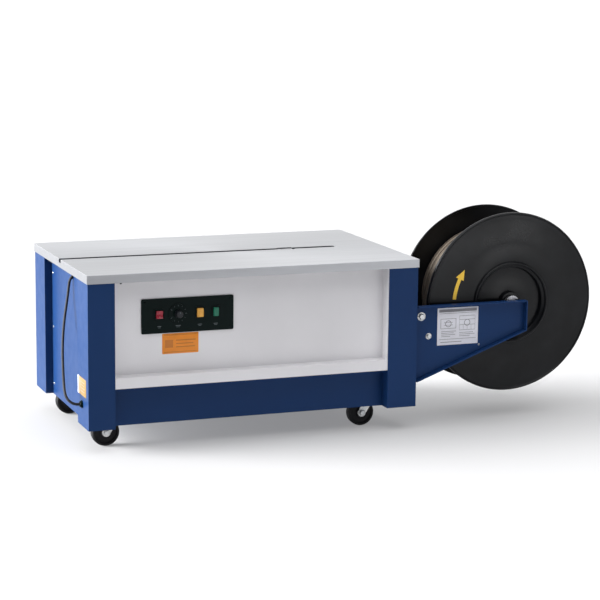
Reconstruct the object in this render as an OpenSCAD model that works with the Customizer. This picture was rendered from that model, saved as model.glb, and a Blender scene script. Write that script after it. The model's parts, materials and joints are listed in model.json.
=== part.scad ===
// Semi-automatic strapping machine with a low stainless table and a side reel.
// Millimetres, +Z up, +X towards the strap reel, +Y towards the back.
// The origin is on the floor, under the middle of the machine's bounding box.

/* [Table] */
// Length of the table top, left to right
table_l = 900; // [760:10:1100]
// Depth of the table top, front to back
table_d = 565; // [540:5:700]
// Height of the table surface above the floor
table_h = 460; // [440:5:600]
// Height of the folded apron round the table top
apron_h = 22; // [18:1:26]
// Thickness of the table's stainless sheet
table_t = 2; // [1:0.5:2.5]
// How far the apron stands out past the posts
table_over = 2; // [2:0.5:4]

/* [Strap slot] */
// Width of the strap slot
slot_w = 20; // [12:1:24]
// Place of the slot behind the table's middle (negative is in front)
slot_y = -6; // [-12:1:10]
// Length of the slot from the table's left edge
slot_l = 772; // [720:4:800]
// Distance of the sealing head from the table's left edge
head_in = 627; // [600:1:650]
// Length of the opening over the sealing head
head_open_l = 42; // [40:1:50]
// Width of the opening over the sealing head
head_open_w = 34; // [28:1:40]

/* [Cabinet] */
// Thickness of the steel sheet
sheet_t = 2; // [1.5:0.5:3]
// Height of the skirt's lower edge above the floor
skirt_z = 63; // [63:1:80]
// Height of the lower edge of the front cover
sill_z = 166; // [150:1:185]
// Width of the left posts, seen from the front
post_w_left = 70; // [60:1:80]
// Width of the right posts, seen from the front
post_w_right = 82; // [60:1:90]
// Depth of a post along the cabinet's side
post_side = 108; // [90:1:120]
// How far the front cover lies behind the posts' front
front_recess = 38; // [30:1:45]
// How far the side panels lie inside the posts
side_recess = 20; // [14:1:24]
// How far the rear cover lies inside the posts
rear_recess = 10; // [6:1:16]
// Height of the front cover's lower band
band_h = 28; // [20:1:34]
// Height of the base pan's underside
pan_z = 100; // [98:1:112]
// Thickness of the base pan
pan_t = 3; // [2:0.5:4]

/* [Controls] */
// Width of the control panel
panel_w = 246; // [230:1:260]
// Height of the control panel
panel_h = 90; // [80:1:94]
// Distance of the panel's left edge from the table's left edge
panel_in = 150.5; // [140:0.5:180]
// Height of the panel's middle
panel_z = 341; // [325:1:350]
// Thickness of the control panel
panel_t = 3; // [2:0.5:4]
// Height of the row of controls
control_z = 345; // [335:1:350]
// Diameter of the timer knob
knob_d = 20; // [16:0.5:22]
// How far the timer knob stands out of its ring
knob_h = 16; // [10:1:20]
// Travel of the push buttons
button_travel = 3; // [2:0.5:4]

/* [Casters] */
// Diameter of the caster wheels
wheel_d = 73; // [68:1:73]
// Width of the caster wheels
wheel_w = 25; // [20:1:30]
// Distance from the swivel axis to the wheel's axle
trail = 27; // [22:1:32]
// Distance of the left casters' swivels from the table's left edge
caster_in_left = 96; // [80:1:110]
// Distance of the right casters' swivels from the table's right edge
caster_in_right = 97; // [90:1:130]
// Distance of the swivels from the table's front and rear edges
caster_in_y = 96; // [96:1:104]

/* [Reel] */
// Diameter of the reel's flanges
reel_d = 490; // [440:5:520]
// Width over the reel's two flanges
reel_w = 188; // [170:1:200]
// Distance of the reel's shaft from the table's right edge
reel_out = 295; // [280:1:330]
// Height of the reel's shaft
reel_z = 320; // [300:1:340]
// Distance of the reel's middle in front of the table's middle
reel_front = 138; // [130:1:150]
// Diameter of the coil's core
core_d = 206; // [190:1:220]
// Diameter over the wound strap
coil_d = 372; // [300:4:420]
// Diameter of the reel's shaft
shaft_d = 20; // [16:1:25]

/* [Arms] */
// Thickness of the arms' steel
arm_t = 3; // [2:0.5:4]
// Width of the flange folded round each arm
arm_fold = 20; // [14:1:24]
// Clear distance between a reel flange and its arm
arm_gap = 23.5; // [20:0.5:30]
// Height of the arms' upper edge
arm_top = 330; // [326:1:345]
// Height of an arm at its root
arm_root_h = 204; // [180:1:230]
// Height of an arm at its tip
arm_tip_h = 82; // [70:1:95]
// How far an arm reaches past the shaft
arm_past = 31; // [26:1:40]

/* [Drive] */
// Height of the cam shaft
cam_z = 331; // [325:1:336]
// Radius of the cams
cam_r = 20; // [16:1:22]
// Height of the motor's axis
motor_z = 175; // [170:1:185]
// Radius of the motor's body
motor_r = 60; // [50:1:64]
// Pitch radius of the motor pulley
pulley_small_r = 25; // [20:1:30]
// Pitch radius of the gearbox pulley
pulley_large_r = 52; // [45:1:56]
// Rise of the grippers and the press platen
slider_rise = 5; // [3:0.5:6]

/* [Hidden] */
$fn = 64;

// Clearances
gap = 0.3;          // between pieces that move past each other
run = 0.05;         // radial, in a bearing
fit = 0.2;          // round a fixed piece in its hole

// The cabinet's own axes: x from the table's middle, y from the table's middle, z from the floor
knuckle_r = 4;
hinge_y = table_d / 2 + knuckle_r;
cab_x = -(reel_out + reel_d / 2) / 2;
cab_y = -(2 * knuckle_r - gap) / 2;
edge_x = table_l / 2;
edge_y = table_d / 2;
apron_z = table_h - apron_h;
post_top = apron_z - gap;
px = edge_x - table_over;      // outer face of the posts at the sides
py = edge_y - table_over;      // outer face of the posts at the front and back
bay_left = -px + post_w_left;
bay_right = px - post_w_right;
front_y = -py + front_recess;  // outer face of the front rail and cover
rear_y = py - rear_recess;
side_x = px - side_recess;
slot_end = -edge_x + slot_l;
head_x = -edge_x + head_in;

// Controls, left to right along the panel
panel_left = -edge_x + panel_in;
panel_x = panel_left + panel_w / 2;
panel_y = front_y - panel_t;   // the panel's front face
rocker_x = panel_left + 47.1;
timer_x = panel_left + 97.2;
feed_x = panel_left + 155.4;
reset_x = panel_left + 197.9;
bezel_t = 2;
sleeve_l = 17;
rocker_r = 10.5;
rocker_back = 5.8;             // the rocker's pivot lies this far behind the bezel's face
rocker_w = 17;
ring_d = 50;
spindle_d = 6;
feed_w = 17;
feed_h = 23;
reset_w = 14;
reset_h = 23;
bezel_wall = 2;
window_margin = 12;

// Casters
wheel_z = wheel_d / 2;
axle_d = 10;
fork_gap = 1.2;                // from the wheel's face to the fork's leg
fork_t = 2.5;
race_h = 6;
plate_t = 3;
crown_z = pan_z - plate_t - race_h - gap;
casters = [[-edge_x + caster_in_left, -edge_y + caster_in_y],
           [edge_x - caster_in_right, -edge_y + caster_in_y],
           [-edge_x + caster_in_left, edge_y - caster_in_y],
           [edge_x - caster_in_right, edge_y - caster_in_y]];

// Reel, measured along its shaft from the reel's middle
reel_x = edge_x + reel_out;
reel_y = -reel_front;
reel_r = reel_d / 2;
web_t = 4;
dish_r = 165;                  // outside this radius a flange's web slopes inwards
dish = 4;                      // by this much at its rim
rim_w = 9;
rim_t = 6;
lip_r = 110;
lip_t = 7;
lip_h = 8;
core_r = core_d / 2;
core_t = 3;
cup_t = 4;
cup_depth = 18;
boss_r = 28;
collar_r = 20;
collar_t = 12;
web_out = reel_w / 2 - 2;      // outer face of a flange's web
boss_out = web_out + 2;
arm_in = reel_w / 2 + arm_gap; // inner face of an arm
seat_t = 8;

// Arms
arm_root_x = px + 6;
arm_tip_x = reel_x + arm_past;
bracket_t = 4;
bracket_x = 70;                // length of a bracket along its arm
bracket_y = 50;                // width of its leg on the cabinet
bolt_large = [arm_root_x + 15.5, arm_top - 29];
bolt_small = [arm_root_x + 37.5, arm_top - 83.5];
bolt_large_r = 5;
bolt_small_r = 3.5;

// Sealing head, under the opening in the table
channel_pitch = 17;
slider_x = 14;
slider_y = 24;
sheet_under = table_h - table_t;
slide_top = sheet_under - 0.5;
slide_z = slide_top - 7;       // underside of the slide plate
blade_t = 1.5;
blade_z = slide_z - gap - blade_t;
slider_top = blade_z - gap - slider_rise;
block_top = slider_top - 2;
foot_z = cam_z + cam_r + gap;
block_z = foot_z + 8;
head_half = 60;
head_deep = 34;
leg_t = 10;
pan_top = pan_z + pan_t;
cam_d = 16;

// Drive, in one plane at the gearbox's left
gearbox_x = head_x - head_half - 100;
gearbox_l = 76;
gearbox_r = 40;
pulley_w = 16;
pulley_x = gearbox_x - gap - pulley_w;
belt_t = 5;
motor_end = pulley_x - 14;
motor_l = 190;
stub_l = 20;
stub_d = 14;

// Strap feed
pool_l = 560;
pool_w = 60;
pool_z = 112;
pool_h = 200;
pool_x = -90;
feed_z = 352;                  // height at which the strap enters
feed_x_mid = 345;
feed_r = 30;
pinch_r = 18;
roller_w = 24;
feed_plate_t = 6;
feed_plate_half = 38;          // half the width of the plate that carries the rollers
feed_plate_top = 395;
feed_motor_r = 32;
feed_motor_l = 90;

// Mains lead, from its gland up outside the left panel and in through the panel's notch
cord_d = 7;
gland_y = -217;
gland_z = 120;
gland_l = 8;
turn_y = -57;                  // where the lead turns in
lead_top = apron_z - 7;        // its height there
lead_rise = lead_top - gland_z;
notch_z = lead_top - 17;       // bottom of the notch
sticker_y = gland_y - 41;      // the sticker above the gland
sticker_z = gland_z + 23;
// The lead's centre line: distance outside the post, y, z
lead_route = [[5, gland_y, gland_z], [9, gland_y, gland_z], [19.5, gland_y + 1, gland_z + 1.6],
  [30.3, gland_y + 5.1, gland_z + 7.4], [37.4, gland_y + 11.5, gland_z + 17],
  [39.8, gland_y + 19, gland_z + 28.4], [38.9, gland_y + 30.6, gland_z + 42.8],
  [35.6, gland_y + 48.4, gland_z + 57.6], [31, gland_y + 70, gland_z + 73],
  [26.5, gland_y + 91, gland_z + 94], [22.5, turn_y - 53, gland_z + 0.39 * lead_rise],
  [17, turn_y - 37, gland_z + 0.5 * lead_rise], [9, turn_y - 21, lead_top - 117],
  [0.5, turn_y - 9, lead_top - 82], [-5.6, turn_y - 2.5, lead_top - 53], [-9, turn_y, lead_top - 32],
  [-11.4, turn_y, lead_top - 19.8], [-18.4, turn_y, lead_top - 9.4], [-28.8, turn_y, lead_top - 2.4],
  [-41, turn_y, lead_top], [-49, turn_y, lead_top]];
lead_end = -px + 48;           // face of the terminal box where it enters

// ---------------------------------------------------------------- helpers

// Places children in the cabinet's own axes
module cab() translate([cab_x, cab_y, 0]) children();

// A box from its low corner to its high corner
module span(a, b) translate(a) cube(b - a);

// Turns children's z axis to +Y
module along_y() rotate([-90, 0, 0]) children();

// Turns children's z axis to +X
module along_x() rotate([0, 90, 0]) children();

// A rod along X from x0 to x1
module rod_x(x0, x1, y, z, r) translate([x0, y, z]) along_x() cylinder(r = r, h = x1 - x0);

// A rod along Y from y0 to y1
module rod_y(x, y0, y1, z, r) translate([x, y0, z]) along_y() cylinder(r = r, h = y1 - y0);

// A rod along Z from z0 to z1
module rod_z(x, y, z0, z1, r) translate([x, y, z0]) cylinder(r = r, h = z1 - z0);

// A flat plate facing the front: its outline lies in X and Z, its front face at y
module facing(x, y, z, t) translate([x, y + t, z]) rotate([90, 0, 0]) linear_extrude(t) children();

// A rectangle with round corners, centred
module round_rect(w, h, r) {
  square([w - 2 * r, h], center = true);
  square([w, h - 2 * r], center = true);
  for (x = [-1, 1], y = [-1, 1])
    translate([x * (w / 2 - r), y * (h / 2 - r)]) circle(r = r);
}

// A rectangular tube facing the front, w by h inside
module sleeve(x, y, z, w, h, l) facing(x, y, z, l) difference() {
  square([w + 2 * bezel_wall, h + 2 * bezel_wall], center = true);
  square([w, h], center = true);
}

// ---------------------------------------------------------------- cabinet

// Plan of the corner post at +X +Y: a folded channel with two return lips
module post_plan(w, recess) {
  translate([px - sheet_t, py - post_side]) square([sheet_t, post_side]);
  translate([px - w, py - sheet_t]) square([w, sheet_t]);
  translate([px - w, py - recess - sheet_t]) square([sheet_t, recess + sheet_t]);
  translate([px - side_recess - sheet_t, py - post_side]) square([side_recess + sheet_t, sheet_t]);
}

// A corner post; sx and sy name the corner
module post(sx, sy, w, recess) color("midnightblue") cab() difference() {
  translate([0, 0, skirt_z]) linear_extrude(post_top - skirt_z)
    scale_sign(sx, sy) post_plan(w, recess);
  if (sx < 0 && sy < 0) rod_x(-px - 1, -px + sheet_t + 1, gland_y, gland_z, cord_d / 2 + 2);
  if (sx > 0 && sy < 0) foot_bolt_holes(px, fit);
}

// Mirrors a plan to the left when sx is negative and to the front when sy is negative
module scale_sign(sx, sy) mirror([sx < 0 ? 1 : 0, 0]) mirror([0, sy < 0 ? 1 : 0]) children();

module front_left_post() post(-1, -1, post_w_left, front_recess);
module front_right_post() post(1, -1, post_w_right, front_recess);
module rear_posts() {
  post(-1, 1, post_w_left, rear_recess);
  post(1, 1, post_w_right, rear_recess);
}

// The pan closes the cabinet's foot, fills the posts' corners and carries the casters
module base_pan() color("midnightblue") cab() translate([0, 0, pan_z]) linear_extrude(pan_t) {
  translate([-side_x + sheet_t, front_y + sheet_t])
    square([2 * (side_x - sheet_t), rear_y - front_y - 2 * sheet_t]);
  for (sy = [-1, 1]) {
    corner_plan(-px + sheet_t, bay_left - sheet_t, sy);
    corner_plan(bay_right + sheet_t, px - sheet_t, sy);
  }
}

// The part of the pan that lies inside one post, from x0 to x1, at the front or the back
module corner_plan(x0, x1, sy) {
  low = py - post_side + sheet_t;
  high = py - sheet_t;
  translate([x0, sy < 0 ? -high : low]) square([x1 - x0, high - low]);
}

module front_rail() color("midnightblue") cab() rail(front_y, 1);
module rear_rail() color("midnightblue") cab() rail(rear_y, -1);

// A low rail between two posts, with a flange folded inwards at its upper edge
module rail(y, inwards) {
  fold = 14;
  low = min(y, y + inwards * sheet_t);
  low_fold = min(y, y + inwards * fold);
  span([bay_left, low, skirt_z], [bay_right, low + sheet_t, sill_z]);
  span([bay_left, low_fold, sill_z - sheet_t], [bay_right, low_fold + fold, sill_z]);
}

// The front cover is a tray: its face lies back, and its sides and its lower band come forward
module front_cover() color("whitesmoke") cab() {
  band_y = -py + 2;
  cover_top = post_top - 1;
  difference() {
    span([bay_left, front_y, sill_z], [bay_right, front_y + sheet_t, cover_top]);
    span([panel_left + window_margin, front_y - 1, panel_z - panel_h / 2 + window_margin],
         [panel_left + panel_w - window_margin, front_y + sheet_t + 1,
          panel_z + panel_h / 2 - window_margin]);
  }
  for (x = [bay_left, bay_right - sheet_t])
    span([x, band_y, sill_z], [x + sheet_t, front_y + sheet_t, cover_top]);
  span([bay_left, band_y, sill_z], [bay_right, band_y + sheet_t, sill_z + band_h]);
  span([bay_left, band_y, sill_z + band_h - sheet_t], [bay_right, front_y + sheet_t, sill_z + band_h]);
  span([bay_left, front_y, cover_top - sheet_t], [bay_right, front_y + 12, cover_top]);
}

// The rear cover has rows of cooling slots
module rear_cover() color("midnightblue") cab() difference() {
  union() {
    span([bay_left, rear_y - sheet_t, sill_z], [bay_right, rear_y, post_top - 1]);
    span([bay_left, rear_y - 12, post_top - 1 - sheet_t], [bay_right, rear_y, post_top - 1]);
  }
  for (row = [0:5], side = [-1, 1])
    span([side * 200 - 50, rear_y - sheet_t - 1, 230 + row * 16],
         [side * 200 + 50, rear_y + 1, 234 + row * 16]);
}

// A side panel spans the two posts' return lips; sx names the side
module side_panel(sx) {
  reach = py - post_side;
  low = sx < 0 ? -side_x : side_x - sheet_t;
  span([low, -reach, skirt_z], [low + sheet_t, reach, post_top - 1]);
}

module left_panel() color("midnightblue") cab() difference() {
  side_panel(-1);
  span([-side_x - 1, turn_y - cord_d / 2 - 2, notch_z],
    [-side_x + sheet_t + 1, turn_y + cord_d / 2 + 2, table_h]);
}

// The right panel has the strap's entry and the rear arm's bolt holes
module right_panel() color("midnightblue") cab() difference() {
  side_panel(1);
  span([side_x - sheet_t - 1, reel_y - 20, feed_z - 14], [side_x + 1, reel_y + 20, feed_z + 14]);
  across() foot_bolt_holes(side_x, fit);
}

// A tray of stainless sheet, open below, with the strap slot and the head's opening cut in it
module table_top() color("gainsboro") cab() difference() {
  span([-edge_x, -edge_y, apron_z], [edge_x, edge_y, table_h]);
  span([-edge_x + table_t, -edge_y + table_t, apron_z - 1],
       [edge_x - table_t, edge_y - table_t, sheet_under]);
  span([-edge_x - 1, slot_y - slot_w / 2, sheet_under - 8],
       [slot_end - slot_w / 2, slot_y + slot_w / 2, table_h + 1]);
  rod_z(slot_end - slot_w / 2, slot_y, sheet_under - 1, table_h + 1, slot_w / 2);
  span([head_x - head_open_l / 2, slot_y - head_open_w / 2, sheet_under - 1],
       [head_x + head_open_l / 2, slot_y + head_open_w / 2, table_h + 1]);
}

// Two hinges at the back carry the table on the rear posts
hinge_l = 50;
hinge_x = [-px + post_w_left / 2, px - post_w_right / 2];
knuckle_l = 16;
hinge_pin_d = 4;
module hinge_bases() color("silver") cab() for (x = hinge_x) {
  span([x - hinge_l / 2, py, apron_z - 34], [x + hinge_l / 2, py + table_over, apron_z - gap]);
  for (side = [-1, 1]) hinge_knuckle(x, side);
  rod_x(x - hinge_l / 2, x + hinge_l / 2, hinge_y, apron_z, hinge_pin_d / 2);
}

// One outer knuckle of a hinge, with the web that joins it to the base leaf
module hinge_knuckle(x, side) {
  inner = knuckle_l / 2 + gap;
  low = side < 0 ? -hinge_l / 2 : inner;
  rod_x(x + low, x + low + hinge_l / 2 - inner, hinge_y, apron_z, knuckle_r - gap);
  span([x + low, py, apron_z - knuckle_r], [x + low + hinge_l / 2 - inner, hinge_y, apron_z - 2]);
}

module hinge_leaves() color("silver") cab() for (x = hinge_x) difference() {
  union() {
    span([x - hinge_l / 2, edge_y, apron_z + knuckle_r + 1], [x + hinge_l / 2, edge_y + 2, table_h - 1]);
    span([x - knuckle_l / 2, edge_y, apron_z + gap], [x + knuckle_l / 2, hinge_y, apron_z + knuckle_r]);
    span([x - knuckle_l / 2, edge_y, apron_z + gap], [x + knuckle_l / 2, edge_y + 2, table_h - 1]);
    rod_x(x - knuckle_l / 2, x + knuckle_l / 2, hinge_y, apron_z, knuckle_r - gap);
  }
  rod_x(x - knuckle_l, x + knuckle_l, hinge_y, apron_z, hinge_pin_d / 2 + run);
}

// ---------------------------------------------------------------- controls

module control_panel() color("black") cab() difference() {
  facing(panel_x, panel_y, panel_z, panel_t) round_rect(panel_w, panel_h, 4);
  facing(rocker_x, panel_y - 1, control_z, panel_t + 2)
    square(2 * (rocker_r + gap + bezel_wall + fit), center = true);
  facing(feed_x, panel_y - 1, control_z, panel_t + 2)
    square([feed_w + 2 * (gap + bezel_wall + fit), feed_h + 2 * (gap + bezel_wall + fit)], center = true);
  facing(reset_x, panel_y - 1, control_z, panel_t + 2)
    square([reset_w + 2 * (gap + bezel_wall + fit), reset_h + 2 * (gap + bezel_wall + fit)], center = true);
  rod_y(timer_x, panel_y - 1, front_y + 1, control_z, 8 + fit);
}

// The rocker's and buttons' frames and the timer's ring, each with a body behind the panel
module control_bezels() color("dimgray") cab() {
  bezel(rocker_x, 2 * (rocker_r + gap), 2 * (rocker_r + gap));
  bezel(feed_x, feed_w + 2 * gap, feed_h + 2 * gap);
  bezel(reset_x, reset_w + 2 * gap, reset_h + 2 * gap);
  difference() {
    union() {
      rod_y(timer_x, panel_y - bezel_t, panel_y, control_z, ring_d / 2);
      rod_y(timer_x, panel_y - bezel_t, panel_y + sleeve_l, control_z, 8);
    }
    rod_y(timer_x, panel_y - 5, panel_y + sleeve_l + 1, control_z, spindle_d / 2 + run);
  }
}

// A frame on the panel with its sleeve through the panel and a closed back
module bezel(x, w, h) {
  sleeve(x, panel_y - bezel_t, control_z, w, h, sleeve_l + bezel_t);
  facing(x, panel_y - bezel_t, control_z, bezel_t) difference() {
    square([w + 2 * bezel_wall + 2, h + 2 * bezel_wall + 2], center = true);
    square([w, h], center = true);
  }
  facing(x, panel_y + sleeve_l - 1, control_z, bezel_t)
    square([w + 2 * bezel_wall, h + 2 * bezel_wall], center = true);
}

// A short drum that rocks about X, with a shallow V across its face
module power_rocker() color("red") cab() difference() {
  rod_x(rocker_x - rocker_w / 2, rocker_x + rocker_w / 2, rocker_y, control_z, rocker_r);
  for (side = [-1, 1]) translate([rocker_x, rocker_y - rocker_r + 1.2, control_z])
    rotate([side * 12, 0, 0])
      translate([-rocker_w, -10, side < 0 ? -20 : 0]) cube([2 * rocker_w, 10, 20]);
}
rocker_y = panel_y - bezel_t + rocker_back;

module timer_knob() color("dimgray") cab() {
  face = panel_y - bezel_t - gap;
  rod_y(timer_x, face - knob_h, face, control_z, knob_d / 2);
  rod_y(timer_x, face - 1, panel_y + sleeve_l, control_z, spindle_d / 2);
}

module feed_button() color("orange") cab() push_button(feed_x, feed_w, feed_h);
module reset_button() color("limegreen") cab() push_button(reset_x, reset_w, reset_h);

// A square cap that slides in its bezel
module push_button(x, w, h) facing(x, panel_y - bezel_t - 5, control_z, 13) round_rect(w, h, 2);

// The steel box behind the panel that holds the timer and the relays
module control_box() color("lightgray") cab() difference() {
  depth = 66;
  low = panel_z - 62;
  high = panel_z + 48;
  span([panel_left, front_y + sheet_t, low], [panel_left + panel_w, front_y + sheet_t + depth, high]);
  span([panel_left + 2, front_y + sheet_t - 1, low + 2],
       [panel_left + panel_w - 2, front_y + sheet_t + depth - 2, high - 2]);
}

// Plain labels: one under the panel, two on the left post and one on the front arm
label_t = 0.4;
module labels() cab() {
  side_w = 70;
  side_h = 46;
  strip_w = 11;
  color("orange") facing(panel_left + 104, front_y - label_t, panel_z - 73.5, label_t)
    round_rect(97, 53, 2);
  color("gold") span([-px - label_t, sticker_y, sticker_z],
    [-px, sticker_y + side_w, sticker_z + side_h]);
  color("white") span([-px - label_t, sticker_y + side_w + 1, sticker_z],
    [-px, sticker_y + side_w + 1 + strip_w, sticker_z + side_h]);
  color("white") facing(arm_root_x + 122.5, arm_face_y, arm_top - 60.5, label_t) round_rect(120, 101, 2);
}
arm_face_y = reel_y - arm_in - arm_t - label_t;

// ---------------------------------------------------------------- mains lead

module cable_gland() color("dimgray") cab() difference() {
  union() {
    rod_x(-px - 5, -px, gland_y, gland_z, 10);
    rod_x(-px - gland_l, -px - 5, gland_y, gland_z, 7.5);
    rod_x(-px, -px + 12, gland_y, gland_z, cord_d / 2 + 1.8);
  }
  rod_x(-px - gland_l - 1, -px + 13, gland_y, gland_z, cord_d / 2 + fit);
}

// Points of a smooth line through the route, two rings to each stretch
function mix(a, b, c, d, t) = 0.5 * ((2 * b) + (c - a) * t + (2 * a - 5 * b + 4 * c - d) * t * t
  + (3 * b - a - 3 * c + d) * t * t * t);
function at(p, i) = p[max(0, min(len(p) - 1, i))];
function smooth(p, n) = [for (i = [0:len(p) - 2], k = [0:n - 1])
  mix(at(p, i - 1), p[i], p[i + 1], at(p, i + 2), k / n), p[len(p) - 1]];
function unit(v) = v / norm(v);
function heading(p, i) = unit(at(p, i + 1) - at(p, i - 1));

// A round tube swept along points p, as one closed polyhedron
module tube(p, r, sides) {
  rings = [for (i = [0:len(p) - 1])
    let (d = heading(p, i), u = unit(cross(d, [0.6, -1, 0.1])), v = cross(d, u))
    for (k = [0:sides - 1]) p[i] + r * (cos(360 * k / sides) * u + sin(360 * k / sides) * v)];
  walls = [for (i = [0:len(p) - 2], k = [0:sides - 1]) let (n = (k + 1) % sides)
    [i * sides + k, (i + 1) * sides + k, (i + 1) * sides + n, i * sides + n]];
  ends = [[for (k = [0:sides - 1]) k], [for (k = [0:sides - 1]) len(p) * sides - 1 - k]];
  polyhedron(points = rings, faces = concat([for (w = walls) for (t = split(w)) t], ends));
}
function split(q) = [[q[0], q[1], q[2]], [q[0], q[2], q[3]]];

module power_cord() color("dimgray") cab()
  tube(smooth([for (p = lead_route) [-px - p[0], p[1], p[2]]], 2), cord_d / 2, 10);

// The terminal box inside the left panel, where the lead ends
module mains_box() color("dimgray") cab() {
  half = 23;
  back = lead_end + 36;
  step = lead_top - 19;
  span([-side_x + sheet_t, turn_y - half, step - 36], [back, turn_y + half, step + 1]);
  span([lead_end, turn_y - half, step], [back, turn_y + half, lead_top + 5]);
}

// ---------------------------------------------------------------- casters

module caster_plates() color("silver") cab() for (c = casters) difference() {
  union() {
    span([c[0] - 34, c[1] - 28, pan_z - plate_t], [c[0] + 34, c[1] + 28, pan_z]);
    rod_z(c[0], c[1], pan_z - plate_t - race_h, pan_z - plate_t, 22);
    rod_z(c[0], c[1], crown_z - 6, pan_z - plate_t, 5);
    rod_z(c[0], c[1], crown_z - 8, crown_z - 3 - gap, 8);
  }
  for (x = [-26, 26], y = [-20, 20]) rod_z(c[0] + x, c[1] + y, pan_z - plate_t - 1, pan_z + 1, 3.2);
}

// Side view of a fork's leg: from the crown back and down to the axle
module fork_side() {
  polygon([[-14, crown_z], [16, crown_z], [12, crown_z - 12], [-trail + 9, wheel_z - 4],
    [-trail - 9, wheel_z - 4], [-trail - 10, wheel_z + 4]]);
  translate([-trail, wheel_z]) circle(r = 10);
}

// A swivel fork with its axle bolt; c is the swivel's place
module caster_fork(c) color("silver") cab() translate([c[0], c[1], 0]) {
  inner = wheel_w / 2 + fork_gap;
  difference() {
    union() {
      rod_z(0, 0, crown_z - 3, crown_z, 20);
      span([-12, -inner - fork_t, crown_z - 3], [15, inner + fork_t, crown_z]);
      for (y = [-inner - fork_t, inner])
        translate([0, y + fork_t, 0]) rotate([90, 0, 0]) linear_extrude(fork_t) fork_side();
    }
    rod_z(0, 0, crown_z - 4, crown_z + 1, 5 + run);
    rod_y(-trail, -wheel_w, wheel_w, wheel_z, axle_d / 2 + run);
  }
  rod_y(-trail, -inner - fork_t - 1, inner + fork_t + 1, wheel_z, axle_d / 2);
  rod_y(-trail, -inner - fork_t - 5, -inner - fork_t - 0.1, wheel_z, 7);
  rod_y(-trail, inner + fork_t + 0.1, inner + fork_t + 5, wheel_z, 7);
}

// A solid wheel with a rounded tread, a dished face and a hub
module caster_wheel(c) color("black") cab()
  translate([c[0] - trail, c[1], wheel_z]) along_y() rotate_extrude($fn = 96) {
    h = wheel_w / 2;
    r = wheel_d / 2;
    bore = axle_d / 2 + run;
    polygon([[bore, -h - 0.8], [12, -h - 0.8], [13, -h + 2], [r - 8, -h + 2], [r - 6, -h],
      [r - 3, -h + 0.7], [r - 1, -h + 3], [r, -h + 7], [r, h - 7], [r - 1, h - 3], [r - 3, h - 0.7],
      [r - 6, h], [r - 8, h - 2], [13, h - 2], [12, h + 0.8], [bore, h + 0.8]]);
  }

module caster_fork_1() caster_fork(casters[0]);
module caster_fork_2() caster_fork(casters[1]);
module caster_fork_3() caster_fork(casters[2]);
module caster_fork_4() caster_fork(casters[3]);
module caster_wheel_1() caster_wheel(casters[0]);
module caster_wheel_2() caster_wheel(casters[1]);
module caster_wheel_3() caster_wheel(casters[2]);
module caster_wheel_4() caster_wheel(casters[3]);

// ---------------------------------------------------------------- reel and arms

// Children drawn about the shaft, z along +Y from the reel's middle
module on_shaft() cab() translate([reel_x, reel_y, reel_z]) along_y() children();

// Outline of an arm in X and Z, d inside its edges; its root stays open when root is below arm_root_x
module arm_outline(d, root = arm_root_x) {
  drop = arm_root_h - arm_tip_h;
  run_x = arm_tip_x - arm_root_x;
  slant = norm([run_x, drop]) / run_x;
  low = arm_top - arm_root_h;
  polygon([[root, arm_top - d], [root, low + drop * (root - arm_root_x) / run_x + d * slant],
    [arm_tip_x - d, low + drop * (1 - d / run_x) + d * slant], [arm_tip_x - d, arm_top - d]]);
}

// An arm at the front: a plate with three of its edges folded away from the reel
module arm() difference() {
  translate([0, reel_y - arm_in, 0]) rotate([90, 0, 0]) linear_extrude(arm_fold) arm_outline(0);
  translate([0, reel_y - arm_in - arm_t, 0]) rotate([90, 0, 0])
    linear_extrude(arm_fold) arm_outline(arm_t, arm_root_x - 1);
  arm_bolt_holes(fit);
}

// Mirrors children to the other side of the reel
module across() translate([0, reel_y, 0]) mirror([0, 1, 0]) translate([0, -reel_y, 0]) children();

module arm_bolt_holes(c) {
  y = reel_y - arm_in;
  rod_y(bolt_large[0], y - 30, y + 10, bolt_large[1], bolt_large_r + c);
  rod_y(bolt_small[0], y - 30, y + 10, bolt_small[1], bolt_small_r + c);
}

module front_arm() color("midnightblue") cab() arm();
module rear_arm() color("midnightblue") cab() across() arm();

// Angles that join the arms to the cabinet: the front one to the post, the rear one to the panel
module arm_brackets() color("midnightblue") cab() {
  bracket(px);
  across() bracket(side_x);
}

// An angle on the front arm's inner face; x is the cabinet's face that it is bolted to
module bracket(x) difference() {
  y = reel_y - arm_in;
  union() {
    span([x, y, arm_top - 175], [x + bracket_t, y + bracket_y, arm_top - 5]);
    span([x, y, arm_top - 175], [arm_root_x + bracket_x, y + bracket_t, arm_top - 5]);
  }
  arm_bolt_holes(fit);
  foot_bolt_holes(x, fit);
}

module foot_bolt_holes(x, c) for (z = [arm_top - 145, arm_top - 45])
  rod_x(x - 20, x + 20, reel_y - arm_in + 32, z, 4 + c);

// Bolts: a large and a small one through each arm, and two through each bracket's foot
module arm_bolts() color("silver") cab() {
  bolt_set(px);
  across() bolt_set(side_x);
}

module bolt_set(x) {
  y = reel_y - arm_in;
  arm_bolt(bolt_large, bolt_large_r, 9);
  arm_bolt(bolt_small, bolt_small_r, 6.5);
  for (z = [arm_top - 145, arm_top - 45]) {
    rod_x(x + bracket_t, x + bracket_t + 5, y + 32, z, 7);
    rod_x(x - sheet_t - 1, x + bracket_t + 1, y + 32, z, 4);
    rod_x(x - sheet_t - 5, x - sheet_t, y + 32, z, 7);
  }
}

// A bolt through the arm and its bracket, with a six-sided head outside and a nut inside
module arm_bolt(at_xz, r, head_r) {
  y = reel_y - arm_in;
  rod_y(at_xz[0], y - arm_t - 1, y + bracket_t + 1, at_xz[1], r);
  head_t = 0.7 * head_r;
  for (low = [y - arm_t - head_t, y + bracket_t])
    translate([at_xz[0], low, at_xz[1]]) along_y() cylinder(r = head_r, h = head_t, $fn = 6);
}

// Open-topped seats on the arms' inner faces, in which the shaft lies
module shaft_seats() color("dimgray") cab() {
  seat();
  across() seat();
}

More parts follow.
